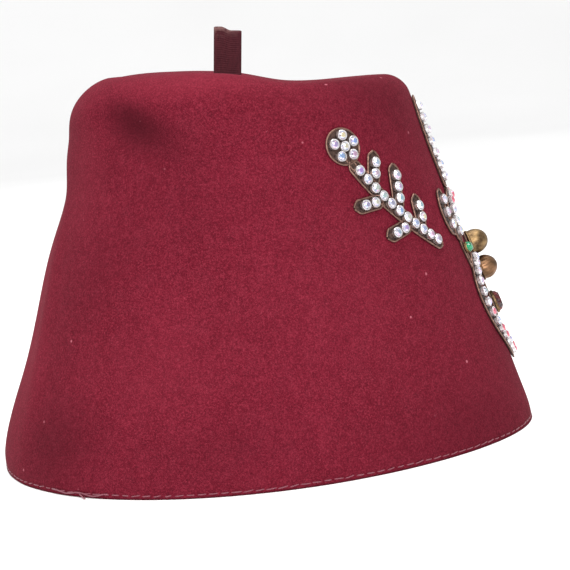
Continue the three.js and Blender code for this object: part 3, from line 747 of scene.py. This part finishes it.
def turned_out(shell):
    """A closed shell with its faces turned to look outwards."""
    points, faces = shell
    centre = points.mean(0)
    total = 0.0
    for face in faces:
        ring_points = points[list(face)] - centre
        for k in range(1, len(face) - 1):
            total += ring_points[0] @ np.cross(ring_points[k], ring_points[k + 1])
    return (points, [face[::-1] for face in faces]) if total < 0 else shell


# %% [markdown]
# The trays' metal is brown with age: dark where dust has settled between the stones, and worn back to a
# bronze colour on the raised wires, which are rubbed and soldered by hand. So the strips and the wires have
# two finishes of one metal, each with its own stains and a little unevenness.

# %% Finishes of the brown metal
tray_metal = Finish("tray_metal", Metallic=0.85)
stain = tray_metal.noise(2.2, 4, 0.6)
tray_metal.paint(tray_metal.ramp(stain, 0.35, 0.65), (48, 36, 34), (92, 72, 64))
tray_metal.plug("Roughness", tray_metal.ramp(stain, 0.3, 0.7, 0.62, 0.4))
tray_metal.plug("Normal", tray_metal.bump(tray_metal.noise(0.5, 3), 0.04, 0.7))

wire_metal = Finish("worn_wire", Metallic=0.9)
rub = wire_metal.noise(1.4, 4, 0.65)
wire_metal.paint(wire_metal.ramp(rub, 0.3, 0.7), (88, 66, 58), (146, 114, 100))
wire_metal.plug("Roughness", wire_metal.ramp(rub, 0.3, 0.7, 0.5, 0.3))
wire_metal.plug("Normal", wire_metal.bump(wire_metal.noise(0.35, 2), 0.03, 0.6))

# %% [markdown]
# One ornament is a list of strips, a list of wires and a list of stones on one chart. Its rows and links are
# laid one after another, and then the strips become one tray and the wires one piece.

# %% An ornament and what is laid on it
LIFT_STEP, LINK_LIFT, PLATE_LIFT = 0.02, -0.12, -0.08
BOSS_PLATE = {"up": -27.5, "width": 9.6, "length": 39}


class Ornament:
    def __init__(self, name, chart):
        self.name, self.chart = name, chart
        self.shells, self.wires, self.stones = [], [], []

    def lay(self, path, width, lift, tip=0.0, extra=0.0):
        shell, edges = strip(self.chart, path, width, tip, extra, lift)
        self.shells.append(turned_out(shell))
        self.wires += edges

    def lay_all(self, rows, links, mirror):
        for name, points in rows.items():
            path = Path(points, mirror)
            self.lay(path, TRAY, LIFT_STEP * (len(self.shells) % 5), TIP, PITCH / 2)
            self.stones.append((name, *path.stones()))
        for points in links.values():
            self.lay(Path(points, mirror), LINK, LINK_LIFT - LIFT_STEP * (len(self.shells) % 4))

    def lay_flower(self, across, up, petals, margin, lift):
        shell, wire = disc(self.chart, across, up, PITCH + STONE / 2 + margin, lift)
        self.shells.append(turned_out(shell))
        self.wires.append(wire)
        turn = (np.arange(petals) + 0.25) / petals * 2 * np.pi
        petal_places = zip(across + PITCH * np.cos(turn), up + PITCH * np.sin(turn))
        places = np.array([(across, up), *petal_places])
        self.stones.append(("flower", places, np.tile([1.0, 0.0], (len(places), 1))))

    def make(self):
        tray = mesh_object(f"{self.name}_tray", *join_shells(self.shells), smooth=False)
        dress(tray, tray_metal.material, "tray_metal", self.name)
        lines = lines_object(f"{self.name}_wire", self.wires)
        wire = wire_tree.run(lines, Radius=WIRE * MM, Sides=8, Finish=wire_metal.material)
        dress(face_outwards(wire), wire_metal.material, "tray_metal", self.name)


# %% The trays of the three ornaments
front_spray = Ornament("front_spray", front)
for mirror in (1, -1):
    front_spray.lay_all(FRONT_ROWS, FRONT_LINKS, mirror)
plate_shares = (-1, -0.3, 0.3, 1)
plate_line = [(0, BOSS_PLATE["up"] + BOSS_PLATE["length"] / 2 * share) for share in plate_shares]
front_spray.lay(Path(plate_line), BOSS_PLATE["width"], PLATE_LIFT)
ornaments = [front_spray]
for name, chart in sides.items():
    spray = Ornament(f"{name}_spray", chart)
    spray.lay_all(SIDE_ROWS, SIDE_LINKS, 1)
    spray.lay_flower(**FLOWER)
    ornaments.append(spray)
for ornament in ornaments:
    ornament.make()

# %% [markdown]
# A stone of this kind is a small cut glass that sits in a bright cup. The same two shapes are repeated over
# a hundred times, so each is made once with few faces, and a Geometry Nodes tree sets it on every place of
# a list. A place carries the direction out of the felt, the direction of its row and a number for its
# tint. Each stone is turned and tilted by a few degrees at random, as hand-set stones are.

# %% One cup and one cut stone
CUP_TOP, CUP_WALL, RISE, TABLE, STONE_CUT = 1.2, 0.52, 0.76, 0.54, 8


def ring_of(count, radius, height, turn=0.0):
    angle = (np.arange(count) + turn) * 2 * np.pi / count
    return vectors(radius * np.cos(angle), radius * np.sin(angle), height)


def cut_facets(cut):
    """The facets of a cut stone on four rings of points: foot, girdle, middle and table."""
    ring = [(k, (k + 1) % cut, (k - 1) % cut) for k in range(cut)]
    faces = [tuple(range(cut))[::-1]]
    faces += [(k, after, cut + after, cut + k) for k, after, _ in ring]
    faces += [(cut + k, cut + after, 2 * cut + k) for k, after, _ in ring]
    faces += [(cut + k, 2 * cut + k, 3 * cut + k, 2 * cut + before) for k, _, before in ring]
    faces += [(3 * cut + k, 2 * cut + k, 3 * cut + after) for k, after, _ in ring]
    return faces + [tuple(range(3 * cut, 4 * cut))]


def template(name, rows, faces, tones=None):
    piece = mesh_object(name, np.concatenate(rows), faces, smooth=False)
    face_outwards(piece)
    if tones is not None:
        store(piece, "facet", tones, "FACE")
    return piece


outside, inside = STONE / 2, STONE / 2 - CUP_WALL
cup_sides = 14
CUP_RINGS = (  # radius, height
    (outside * 0.9, -0.5),
    (outside, 0.1),
    (outside, CUP_TOP),
    (outside - 0.12, CUP_TOP + 0.16),
    (inside, CUP_TOP + 0.1),
    (inside - 0.05, CUP_TOP - 0.25),
)
cup_rows = [ring_of(cup_sides, radius, height) for radius, height in CUP_RINGS]
cup_faces = capped_faces(len(cup_rows), cup_sides)
cup_shape = template("cup_shape", cup_rows, cup_faces)

girdle = inside + 0.02
cut_rows = [
    ring_of(STONE_CUT, girdle * 0.9, CUP_TOP - 0.3),
    ring_of(STONE_CUT, girdle, CUP_TOP + 0.02),
    ring_of(STONE_CUT, girdle * 0.8, CUP_TOP + RISE * 0.62, 0.5),
    ring_of(STONE_CUT, girdle * TABLE, CUP_TOP + RISE, 0.0),
]
cut_faces = cut_facets(STONE_CUT)
tones = np.random.default_rng(3).uniform(0, 1, len(cut_faces))
tones[-1 - STONE_CUT:] += 1  # the table and the facets next to it, which show the stone's heart
cut_shape = template("cut_shape", cut_rows, cut_faces, tones)
print("faces of a cup and a stone:", len(cup_faces), len(cut_faces))

# %% A tree that sets stones on their places
setting = Tree("set_stones", Shape="Object", Tilt="Float", Seed="Int", Finish="Material")
wobble = setting.chance(setting.times(setting.given("Tilt"), -1.0), setting.given("Tilt"))
stance = setting.stance(setting.stored("outward"), setting.stored("along"), wobble)
info = {"Object": setting.given("Shape"), "As Instance": True}
info = add_node(setting.group, "GeometryNodeObjectInfo", info, {"transform_space": "ORIGINAL"})
placed = {"Points": setting.given("Geometry"), "Instance": info.outputs["Geometry"], "Rotation": stance}
setting.end(setting.add("GeometryNodeInstanceOnPoints", placed))
print("stone tree inputs:", list(setting.keys))

# %% [markdown]
# The stones have a rainbow coat over a silvered back, so each facet throws back a little of another colour:
# mostly white, with flashes of blue, lilac, pink and pale yellow. Ray-traced glass this small only turns to
# noise. So the finish is a bright, smooth metal under a clear coat, whose colour is read for each facet from
# two stored numbers, the facet's own and its stone's. The table and the facets next to it show the stone's
# heart, which is darker and has one colour for the whole stone. A few stones near the middle are painted
# rose, as painted red glints.

# %% Finishes of the cups and stones
cup_metal = Finish("silvered_cups", Metallic=0.95)
tarnish = cup_metal.noise(1.6, 3)
cup_metal.paint(cup_metal.ramp(tarnish, 0.35, 0.7), (186, 180, 180), (243, 241, 243))
cup_metal.plug("Roughness", cup_metal.ramp(tarnish, 0.3, 0.7, 0.4, 0.22))

cut_glass = Finish("rainbow_stones", Metallic=0.72, Roughness=0.08, Coat_Weight=1.0, Coat_Roughness=0.02)
facet, tint, rose = (cut_glass.stored(name) for name in ("facet", "tint", "rose"))
flash = cut_glass.math(cut_glass.math(cut_glass.times(tint, 3.0), facet, "ADD"), 1.0, "FRACT")
rainbow = cut_glass.add("ShaderNodeValToRGB", {"Fac": flash})
hearts = cut_glass.add("ShaderNodeValToRGB", {"Fac": tint})
RAINBOW = ((0.0, (226, 228, 240)), (0.2, (160, 186, 228)), (0.32, (233, 232, 240)), (0.46, (186, 170, 218)),
           (0.58, (240, 236, 240)), (0.7, (226, 172, 202)), (0.82, (236, 234, 226)), (0.92, (132, 130, 146)))
HEARTS = ((0.0, (142, 162, 180)), (0.14, (84, 130, 196)), (0.28, (168, 172, 178)), (0.42, (154, 104, 186)),
          (0.56, (122, 142, 144)), (0.7, (196, 132, 176)), (0.84, (104, 164, 178)), (0.96, (206, 194, 150)))
for wheel, bands in ((rainbow, RAINBOW), (hearts, HEARTS)):
    for place, colour in bands[2:]:
        wheel.color_ramp.elements.new(place)
    for element, (place, colour) in zip(wheel.color_ramp.elements, bands):
        element.position, element.color = place, linear(*colour)
middle = cut_glass.times(cut_glass.ramp(facet, 0.99, 1.01), 0.85)
coated = cut_glass.colour(middle, rainbow.outputs["Color"], hearts.outputs["Color"])
# A few stones are painted rose: painted red glints.
rose_glint_colour = cut_glass.colour(cut_glass.times(rose, 0.85), coated, linear(206, 62, 86))
cut_glass.plug("Base Color", rose_glint_colour)

# %% Stones and cups on their places
FOOT = 1.2
# The stones painted rose, as painted red glints.
ROSE_GLINT_STONES = {"wing": (0, 1), "leaf": (6, 8, 9, 11, 12)}


def places_object(name, ornament):
    """A mesh of bare points, one for each stone, with their directions and tints."""
    chart, near = ornament.chart, 0.3
    points, out, along, rose_glint_ones = [], [], [], []
    for row, spots, ways in ornament.stones:
        ahead = chart.at(*(spots + ways * near).T) - chart.at(*(spots - ways * near).T)
        along.append(ahead / np.linalg.norm(ahead, axis=1, keepdims=True))
        points.append(chart.at(*spots.T, FOOT))
        out.append(chart.at(*spots.T, 1.0) - chart.at(*spots.T, 0.0))
        chosen_ones = ROSE_GLINT_STONES.get(row, ()) if chart is front else ()
        rose_glint_ones += [float(i in chosen_ones) for i in range(len(spots))]
    piece = mesh_object(name, np.concatenate(points), [])
    count = len(piece.data.vertices)
    tints = np.random.default_rng(len(name) * 7 + count).uniform(0, 1, count)
    store(piece, "outward", np.concatenate(out))
    store(piece, "along", np.concatenate(along))
    store(piece, "tint", tints)
    store(piece, "rose", rose_glint_ones)
    return piece


SETTINGS = (  # part, shape, most tilt, seed, finish
    ("cups", cup_shape, 0.05, 5, cup_metal.material),
    ("stones", cut_shape, 0.09, 8, cut_glass.material),
)
for ornament in ornaments:
    for part, shape, tilt, seed, finish in SETTINGS:
        made = places_object(f"{ornament.name}_{part}", ornament)
        setting.run(made, Shape=shape, Tilt=tilt, Seed=seed, Finish=finish)
        made.data.polygons.foreach_set("use_smooth", [False] * len(made.data.polygons))
        dress(made, finish, "cup_stones", ornament.name)
for shape_object in (cup_shape, cut_shape):
    bpy.data.objects.remove(shape_object)

# %% [markdown]
# The two domes are pressed brass. A turned shape is laid out as rings round its axis and then stood on the
# felt with the chart's own axes. A rolled collar runs round each foot, and the lower dome is fluted: its
# radius swells and sinks a little round the axis, which fades towards the top as a pressed pattern does.

# %% Domes of aged brass
ON_PLATE = 1.3
UPPER_BOSS = {"up": -15.6, "radius": 5.2, "height": 7.6, "flutes": 0, "flute_depth": 0}
LOWER_BOSS = {"up": -26.4, "radius": 4.9, "height": 7.2, "flutes": 18, "flute_depth": 0.035}
# The rolled collar at a dome's foot: shares of its radius, and heights.
COLLAR = ((0.2, 0.0), (0.96, 0.0), (1.0, 0.25), (1.0, 0.62), (0.965, 0.85), (0.93, 0.92), (0.925, 1.1))


def stand_on_felt(chart, across, up, lift, points):
    """Points about an ornament's own axes, stood on the chart at one place."""
    right, rise, out = chart.axes(np.array(across, float), np.array(up, float))
    return chart.at(np.array(across, float), up, lift) + points @ np.stack([right, rise, out])


def dome(name, boss):
    sides_round, skirt = 72, boss["height"] - boss["radius"]
    profile = [(share * boss["radius"], height) for share, height in COLLAR]
    inner_radius = boss["radius"] * COLLAR[-1][0]
    for angle in np.linspace(0, np.pi / 2, 20)[:-1]:
        rise = (boss["height"] - skirt) * math.sin(angle)
        profile.append((inner_radius * math.cos(angle), skirt + rise))
    turn = np.arange(sides_round) * 2 * np.pi / sides_round
    shell = []
    for radius, height in profile:
        fade = np.clip((height - 1.0) / 0.8, 0, 1) * np.clip((boss["height"] * 0.86 - height) / 2.5, 0, 1)
        swell = 1 + boss["flute_depth"] * fade * np.cos(turn * boss["flutes"])
        shell.append(vectors(radius * swell * np.cos(turn), radius * swell * np.sin(turn), height))
    points = np.concatenate(shell + [[[0, 0, 0]], [[0, 0, boss["height"]]]])
    faces = grid_faces(len(profile), sides_round)
    foot, top, last = len(points) - 2, len(points) - 1, (len(profile) - 1) * sides_round
    for k in range(sides_round):
        after = (k + 1) % sides_round
        faces += [(foot, after, k), (top, last + k, last + after)]
    return face_outwards(mesh_object(name, stand_on_felt(front, 0, boss["up"], ON_PLATE, points), faces))


def brass_finish(name, old, rubbed, film):
    """Brass that is dull in some places and rubbed in others, by noise, under a thin film."""
    made = Finish(name, Metallic=0.92)
    age, fine_age = made.noise(3.2, 5, 0.62), made.noise(0.8, 3)
    tone = made.colour(made.ramp(age, 0.36, 0.62), linear(*old), linear(*rubbed))
    made.plug("Base Color", made.colour(made.ramp(fine_age, 0.5, 0.72, 0, 0.5), tone, linear(*film)))
    made.plug("Roughness", made.ramp(age, 0.3, 0.7, 0.56, 0.34))
    made.plug("Normal", made.bump(fine_age, 0.06, 0.6))
    return made.material


brass = brass_finish("aged_brass", (78, 60, 42), (150, 122, 84), (96, 86, 72))
bronze = brass_finish("aged_bronze", (78, 60, 42), (130, 96, 70), (84, 62, 48))
dress(dome("upper_boss_dome", UPPER_BOSS), brass, "aged_brass", "upper_boss")
dress(dome("lower_boss_dome", LOWER_BOSS), bronze, "aged_brass", "lower_boss")

# %% [markdown]
# The long stones are cut glass in a bezel. The bezel is an oval ring of brass with four claws bent over its
# edge. The stone has two rows of facets between its girdle and its table, as cutters make them, so it
# breaks up what it reflects. The colour is deep, so most of the light goes into it and little comes out.

# %% The red stone and the green stones
RED_STONE = {"across": 0.0, "up": -40.5, "width": 6.2, "length": 9.4, "height": 3.0}
GREEN_STONE = {"across": -18.5, "up": -14.6, "width": 3.4, "length": 4.4, "height": 2.6}
SEAT, CLAW_HALF = 0.3, 0.34


def oval(size, share, height, count, turn=0.0):
    return ring_of(count, share, height, turn) * (size["width"], size["length"], 1)


def bezel_shells(size):
    """The ring that holds a stone, and four claws bent over its edge, about the stone's own axes."""
    foot, count = size["height"] * SEAT, 32
    ring = ((0.46, 0.0), (0.5, 0.15), (0.5, foot))
    ring += ((0.485, foot + 0.12), (0.465, foot + 0.05), (0.46, foot - 0.3))
    rows = [oval(size, share, height, count) for share, height in ring]
    shells = [(np.concatenate(rows), capped_faces(len(rows), count))]
    bend = ((0.5, foot * 0.4), (0.5, foot + 0.22), (0.41, foot + 0.5))
    bend += ((0.37, foot + 0.34), (0.44, foot * 0.4))
    claw_faces = [(2 * k, 2 * k + 1, (2 * k + 3) % 10, (2 * k + 2) % 10) for k in range(len(bend))]
    claw_faces += [tuple(range(0, 10, 2)), tuple(range(1, 10, 2))[::-1]]
    for turn in np.radians((45, 135, 225, 315)):
        way, beside_it = np.array([np.cos(turn), np.sin(turn)]), np.array([-np.sin(turn), np.cos(turn)])
        claw = []
        for share, height in bend:
            middle = way * share * (size["width"], size["length"])
            claw += [(*(middle + beside_it * edge), height) for edge in (CLAW_HALF, -CLAW_HALF)]
        shells.append((np.array(claw), claw_faces))
    return shells


def cut_shell(size):
    """A stone with two rows of facets between its girdle and its table."""
    foot, top, cut = size["height"] * SEAT, size["height"], 12
    middle = foot + (top - foot) * 0.58
    levels = ((0.42, foot - 0.25, 0), (0.465, foot + 0.16, 0), (0.41, middle, 0.5), (0.3, top, 0))
    rows = [oval(size, share, height, cut, turn) for share, height, turn in levels]
    return np.concatenate(rows), cut_facets(cut)


def long_stone(name, size, side, finish, slot):
    place = (front, size["across"] * side, size["up"], ON_PLATE)
    shells = [turned_out((stand_on_felt(*place, points), faces)) for points, faces in bezel_shells(size)]
    bezel = mesh_object(f"{name}_bezel", *join_shells(shells), smooth=False)
    dress(bezel, brass, "aged_brass", name)
    points, faces = cut_shell(size)
    glass = mesh_object(f"{name}_glass", stand_on_felt(*place, points), faces, smooth=False)
    dress(face_outwards(glass), finish, slot, name)


def glass_finish(name, deep, bright):
    """Deep coloured glass whose depth of colour drifts across the stone."""
    clear = {"IOR": 1.5, "Transmission_Weight": 0.3, "Coat_Weight": 0.25, "Coat_Roughness": 0.03}
    made = Finish(name, Roughness=0.06, **clear)
    made.paint(made.ramp(made.noise(2.0, 2), 0.35, 0.65), deep, bright)
    return made.material


red_glass = glass_finish("cut_red_glass", (26, 0, 3), (124, 3, 16))
green_glass = glass_finish("cut_green_glass", (0, 74, 48), (10, 156, 104))
long_stone("red_stone", RED_STONE, 1, red_glass, "red_glass")
long_stone("green_stone_right", GREEN_STONE, 1, green_glass, "green_glass")
long_stone("green_stone_left", GREEN_STONE, -1, green_glass, "green_glass")

# %% [markdown]
# The tab is one length of ribbed ribbon, folded over and pushed through the slot, with its ends spread
# under the felt. Its path is laid out first, foot to fold to foot, and a flat section with soft edges is
# carried along it. The ribs are real: the ribbon thickens and thins along its length, but not at its woven
# edges. The back half of the fold stands higher than the front half, as on the worn one.

# %% The ribbon's path
BEND, PATH_STEP, FOOT_GAP = 0.75, 0.14, 1.5
half_width, half_thick = TAB["width"] / 2, TAB["ribbon"] / 2
middle_line = TAB["opening"] / 2 + half_thick
fold_centre = TAB["height"] - TAB["opening"] / 2 - TAB["ribbon"]
foot_level = -FELT_THICKNESS - FOOT_GAP - half_thick
foot_end = TAB["opening"] / 2 + TAB["ribbon"] + TAB["foot"]
half_path = [(foot_end, foot_level)]
for a in np.linspace(0, np.pi / 2, 6):
    half_path.append((middle_line + BEND * (1 - math.sin(a)), foot_level + BEND * (1 - math.cos(a))))
fold = np.linspace(0, np.pi, 17)
corners = half_path + [(middle_line * math.cos(a), fold_centre + middle_line * math.sin(a)) for a in fold]
corners = np.array(corners + [(-y, z) for y, z in half_path[::-1]])
run = np.concatenate([[0], np.cumsum(np.linalg.norm(np.diff(corners, axis=0), axis=1))])
stops = np.linspace(0, run[-1], int(run[-1] / PATH_STEP))
track = np.stack([np.interp(stops, run, corners[:, k]) for k in (0, 1)], -1)
ahead = softened(np.gradient(track, axis=0), 4)
ahead /= np.linalg.norm(ahead, axis=1, keepdims=True)
side_way = np.stack([ahead[:, 1], -ahead[:, 0]], -1)
print("ribbon length, mm:", round(float(run[-1]), 1))

# %% The ribbon's section, carried along the path
RIB = {"pitch": 0.85, "height": 0.055, "edge": 0.9, "fade": 0.3}
EDGE_ROUNDING, EDGE_SHARE, WAVER = 0.3, 0.45, 0.12
across_ribbon = np.concatenate([np.linspace(-1, 1, 19), np.linspace(1, -1, 19)])
face_side = np.repeat([1.0, -1.0], 19)
from_edge = half_width * (1 - np.abs(across_ribbon))
rounding = np.clip(from_edge / EDGE_ROUNDING, 0, 1) ** 0.5 * (1 - EDGE_SHARE) + EDGE_SHARE
rib = RIB["height"] * np.cos(stops * 2 * np.pi / RIB["pitch"])[:, None]
rib = rib * np.clip((from_edge - RIB["edge"]) / RIB["fade"], 0, 1)
offset = face_side * ((half_thick - RIB["height"]) * rounding + rib)
x = across_ribbon * half_width
y = track[:, :1] + side_way[:, :1] * offset
z = track[:, 1:] + side_way[:, 1:] * offset
back = np.clip((-x + TAB["width"] / 8) / (TAB["width"] * 3 / 8), 0, 1)
back = back * back * (3 - 2 * back)
z = z - TAB["step"] * (1 - back) * np.maximum(z, 0) / TAB["height"]
y = y + WAVER * np.sin(x * 0.9) * np.clip(z / TAB["height"], 0, 1)
c, s = math.cos(math.radians(TAB["lean"])), math.sin(math.radians(TAB["lean"]))
ribbon_points = vectors(x * c + z * s, y, z * c - x * s)
ribbon_points += (TAB["x"], 0, float(crown_height(TAB["x"])) - CROWN_HOLLOW)
faces = capped_faces(len(stops), len(across_ribbon))
tab = face_outwards(mesh_object("ribbon_tab", ribbon_points.reshape(-1, 3), faces))

# %% The ribbon's finish
ribbon = Finish("ribbed_ribbon", Roughness=0.85, Sheen_Weight=0.05)
ribbon.shader.inputs["Specular IOR Level"].default_value = 0.15
stretched = ribbon.add("ShaderNodeMapping", {"Vector": ribbon.place, "Scale": (1, 1, 0.2)}).outputs[0]
threads = ribbon.noise(0.4, 3, place=stretched)
tall = ribbon.add("ShaderNodeSeparateXYZ", {"Vector": ribbon.place}).outputs["Z"]
tone_mask = ribbon.times(ribbon.ramp(tall, 0.1565, 0.1605), ribbon.ramp(ribbon.noise(2.4, 3), 0.4, 0.6))
dark = ribbon.colour(ribbon.ramp(threads, 0.3, 0.7), linear(50, 16, 23), linear(72, 28, 35))
dark = ribbon.colour(ribbon.ramp(ribbon.noise(3.5, 3), 0.4, 0.7, 0, 0.5), dark, linear(60, 20, 27))
ribbon.plug("Base Color", ribbon.colour(ribbon.times(tone_mask, 0.6), dark, linear(112, 84, 80)))
ribbon.plug("Normal", ribbon.bump(threads, 0.05, 0.6))
dress(tab, ribbon.material, "ribbon", "tassel_tab")

# %% [markdown]
# A row of hand stitches holds a hidden band inside the rim, and all that shows of it is short pale
# stitches just over the edge. They repeat along a path, so Geometry Nodes make them: the path is cut at the
# pitch, and one small bowed thread is set at each cut. Each is turned and stretched a little at random, and
# they lie flatter the farther they are from the wearer's right.

# %% A tree for the stitches
stitching = Tree(
    "rim_stitches", Pitch="Float", Length="Float", Thread="Float", Rise="Float", Slant="Float",
    Seed="Int", Finish="Material",
)


def vector(**axes):
    return stitching.add("ShaderNodeCombineXYZ", axes)


length, thread_size, slant = (stitching.given(name) for name in ("Length", "Thread", "Slant"))
sunk = stitching.times(thread_size, -1.1)
bow = {
    "Resolution": 5,
    "Start": vector(X=stitching.times(length, -0.5), Z=sunk),
    "Middle": vector(Z=stitching.given("Rise")),
    "End": vector(X=stitching.times(length, 0.5), Z=sunk),
}
bow = stitching.add("GeometryNodeCurveQuadraticBezier", bow)
one_stitch = stitching.sweep(bow, 6, thread_size)
slanted = stitching.chance(vector(Z=stitching.times(slant, -0.3)), vector(Z=slant))
along_rim = stitching.add("GeometryNodeInputTangent")
stance = stitching.stance(stitching.stored("outward"), along_rim, slanted)
depth_scale = vector(X=1.0, Y=1.0, Z=stitching.stored("proud", "FLOAT"))
stretch = stitching.chance((0.72, 0.85, 0.7), (1.12, 1.15, 1.1))
stretch = stitching.add("ShaderNodeVectorMath", {0: stretch, 1: depth_scale}, operation="MULTIPLY")
cuts = {"Curve": stitching.line(), "Length": stitching.given("Pitch")}
cuts = stitching.add("GeometryNodeResampleCurve", cuts, mode="LENGTH")
sewn = {"Points": cuts, "Instance": one_stitch, "Rotation": stance, "Scale": stretch}
stitching.end(stitching.add("GeometryNodeInstanceOnPoints", sewn))

# %% Sew the rim
turns = np.linspace(-np.pi, np.pi, 721)
levels = np.linspace(0.0, 0.04, 12)
wall_near_rim = felt_point(turns[:, None], levels[None, :])
wander = STITCH_LEVEL + 0.14 * np.sin(turns * 5 + 1) + 0.08 * np.sin(turns * 17)
seam_levels = [np.interp(level, column[:, 2], levels) for level, column in zip(wander, wall_near_rim)]
seam_levels = np.array(seam_levels)
seam_out = normal_of(smooth_felt, turns, seam_levels)
seam = felt_point(turns, seam_levels) - seam_out * GROOVE["depth"] * 0.8
stitches = lines_object("rim_stitches", [seam])
store(stitches, "outward", seam_out)
from_side = np.abs(turns + math.radians(95))
store(stitches, "proud", 0.62 + 0.38 * np.clip((math.radians(150) - from_side) / 1.6, 0.0, 1.0))
thread = Finish("sewing_thread", Roughness=0.75, Sheen_Weight=0.2)
ply = thread.noise(0.25, 2)
thread.paint(thread.ramp(ply, 0.3, 0.7), (92, 34, 48), (132, 64, 78))
thread.plug("Normal", thread.bump(ply, 0.05, 0.8))
STITCH = {"Pitch": 4.0 * MM, "Length": 3.3 * MM, "Thread": 0.21 * MM, "Rise": 0.62 * MM, "Slant": 0.2}
stitching.run(stitches, **STITCH, Seed=11, Finish=thread.material)
dress(face_outwards(stitches), thread.material, "thread")

# %% [markdown]
# Behind the wearer's right the thread has come loose: it is wound over itself for a few stitches and its
# end hangs free just over the edge. It is a line of its own, swept with the same tree as the wires.

# %% The loose thread
def on_rim(degrees_round, level, out):
    turn = np.array([math.radians(degrees_round)])
    near = felt_point(turn[0], levels)
    course = np.array([np.interp(level, near[:, 2], levels)])
    return (felt_point(turn, course) + normal_of(smooth_felt, turn, course) * out)[0]


# Each point: degrees round the rim, height, distance out of the felt.
WOUND = (
    (-139.5, 1.7, -0.2), (-138, 1.9, 0.35), (-136.5, 1.5, 0.3), (-134.8, 1.0, 0.3), (-133.2, 1.3, 0.4),
    (-131.5, 1.9, 0.45), (-130, 1.7, 0.3), (-128.4, 1.1, 0.35), (-127, 0.9, 0.5), (-125.6, 1.3, 0.45),
    (-124.4, 1.9, 0.35), (-123.4, 1.7, -0.2),
)
TAIL = ((-131, 1.5, -0.1), (-130.4, 1.2, 0.6), (-129.6, 0.8, 1.2), (-129.1, 0.5, 1.8), (-128.2, 0.4, 2.4))
strands = []
for knots in (WOUND, TAIL):
    spots = np.array([on_rim(*knot) for knot in knots])
    knot_run = np.arange(len(spots))
    fine_run = np.linspace(0, len(spots) - 1, len(spots) * 6)
    strand = np.stack([np.interp(fine_run, knot_run, spots[:, k]) for k in range(3)], -1)
    strands.append(softened(strand, 6))
loose_thread = lines_object("loose_thread", strands)
wire_tree.run(loose_thread, Radius=0.24 * MM, Sides=7, Finish=thread.material)
dress(face_outwards(loose_thread), thread.material, "thread")

# %% [markdown]
# The studio is a pale floor that sweeps up far behind the hat on all sides, so that no edge of it shows.
# A soft box hangs over the hat, a second stands beside the camera, and a pale sky fills the shadows.

# %% The studio
FLOOR = {"flat": 2.0, "sweep": 1.2, "around": 96}
floor_rows = [(0.02, 0.0), (0.4, 0.0), (1.0, 0.0), (FLOOR["flat"], 0.0)]
for a in np.linspace(0.1, 1.1, 12):
    floor_rows.append((FLOOR["flat"] + FLOOR["sweep"] * math.sin(a), FLOOR["sweep"] * (1 - math.cos(a))))
floor_turn = np.arange(FLOOR["around"]) * 2 * np.pi / FLOOR["around"]
floor_points = [vectors(r * np.cos(floor_turn), r * np.sin(floor_turn), h) for r, h in floor_rows]
floor_faces = grid_faces(len(floor_rows), FLOOR["around"]) + [tuple(range(FLOOR["around"]))]
floor = mesh_object("studio_floor", np.concatenate(floor_points) / MM, floor_faces)
pale = Finish("studio_paint", Roughness=0.9)
pale.shader.inputs["Specular IOR Level"].default_value = 0.1
pale.paint(pale.ramp(pale.noise(400, 2), 0.3, 0.7), (242, 242, 242), (246, 246, 246))
floor.data.materials.append(pale.material)

sky = bpy.data.worlds.new("studio_sky")
sky.use_nodes = True
background = sky.node_tree.nodes["Background"]
background.inputs["Color"].default_value = (1, 1, 1, 1)
background.inputs["Strength"].default_value = 0.85
bpy.context.scene.world = sky


def soft_box(name, place, size, power):
    """A square soft light that looks at the hat's middle."""
    light = bpy.data.lights.new(name, "AREA")
    light.shape, light.size, light.energy = "SQUARE", size, power
    lamp = bpy.data.objects.new(name, light)
    bpy.context.scene.collection.objects.link(lamp)
    lamp.location = place
    way = Vector((0, 0, 0.08)) - Vector(place)
    lamp.rotation_euler = way.to_track_quat("-Z", "Y").to_euler()


soft_box("overhead_box", (0, 0, 1.6), 1.0, 22)
soft_box("camera_side_box", (0, -1.5, 0.7), 0.8, 22)

# %% [markdown]
# The camera stands where the photograph's did: level with the crown, a little over the rim, seen from the
# wearer's right. The hat is worn a little raised at the front, so the camera is rolled by five degrees.

# %% The camera
CAMERA = {"aim": (11.3, 0, 59.5), "distance": 640.0, "elevation": 7.95, "roll": 5.1, "view": 223.0}
SENSOR = 36.0
elevation, roll = math.radians(CAMERA["elevation"]), math.radians(CAMERA["roll"])
back_way = np.array([0, -math.cos(elevation), math.sin(elevation)])
right_way = np.array([1.0, 0, 0])
up_way = np.cross(back_way, right_way)
rolled_right = right_way * math.cos(roll) - up_way * math.sin(roll)
rolled_up = right_way * math.sin(roll) + up_way * math.cos(roll)
stand = (np.array(CAMERA["aim"]) + back_way * CAMERA["distance"]) * MM
camera = bpy.data.objects.new("camera", bpy.data.cameras.new("camera"))
bpy.context.scene.collection.objects.link(camera)
columns = [(*column, last) for column, last in ((rolled_right, 0), (rolled_up, 0), (back_way, 0), (stand, 1))]
camera.matrix_world = Matrix(columns).transposed()
camera.data.sensor_width = SENSOR
camera.data.lens = SENSOR * CAMERA["distance"] / CAMERA["view"]
bpy.context.scene.camera = camera
bpy.context.scene.view_settings.view_transform = "Standard"
print("camera at, mm:", [round(float(v) / MM, 1) for v in stand], "lens:", round(camera.data.lens, 1))
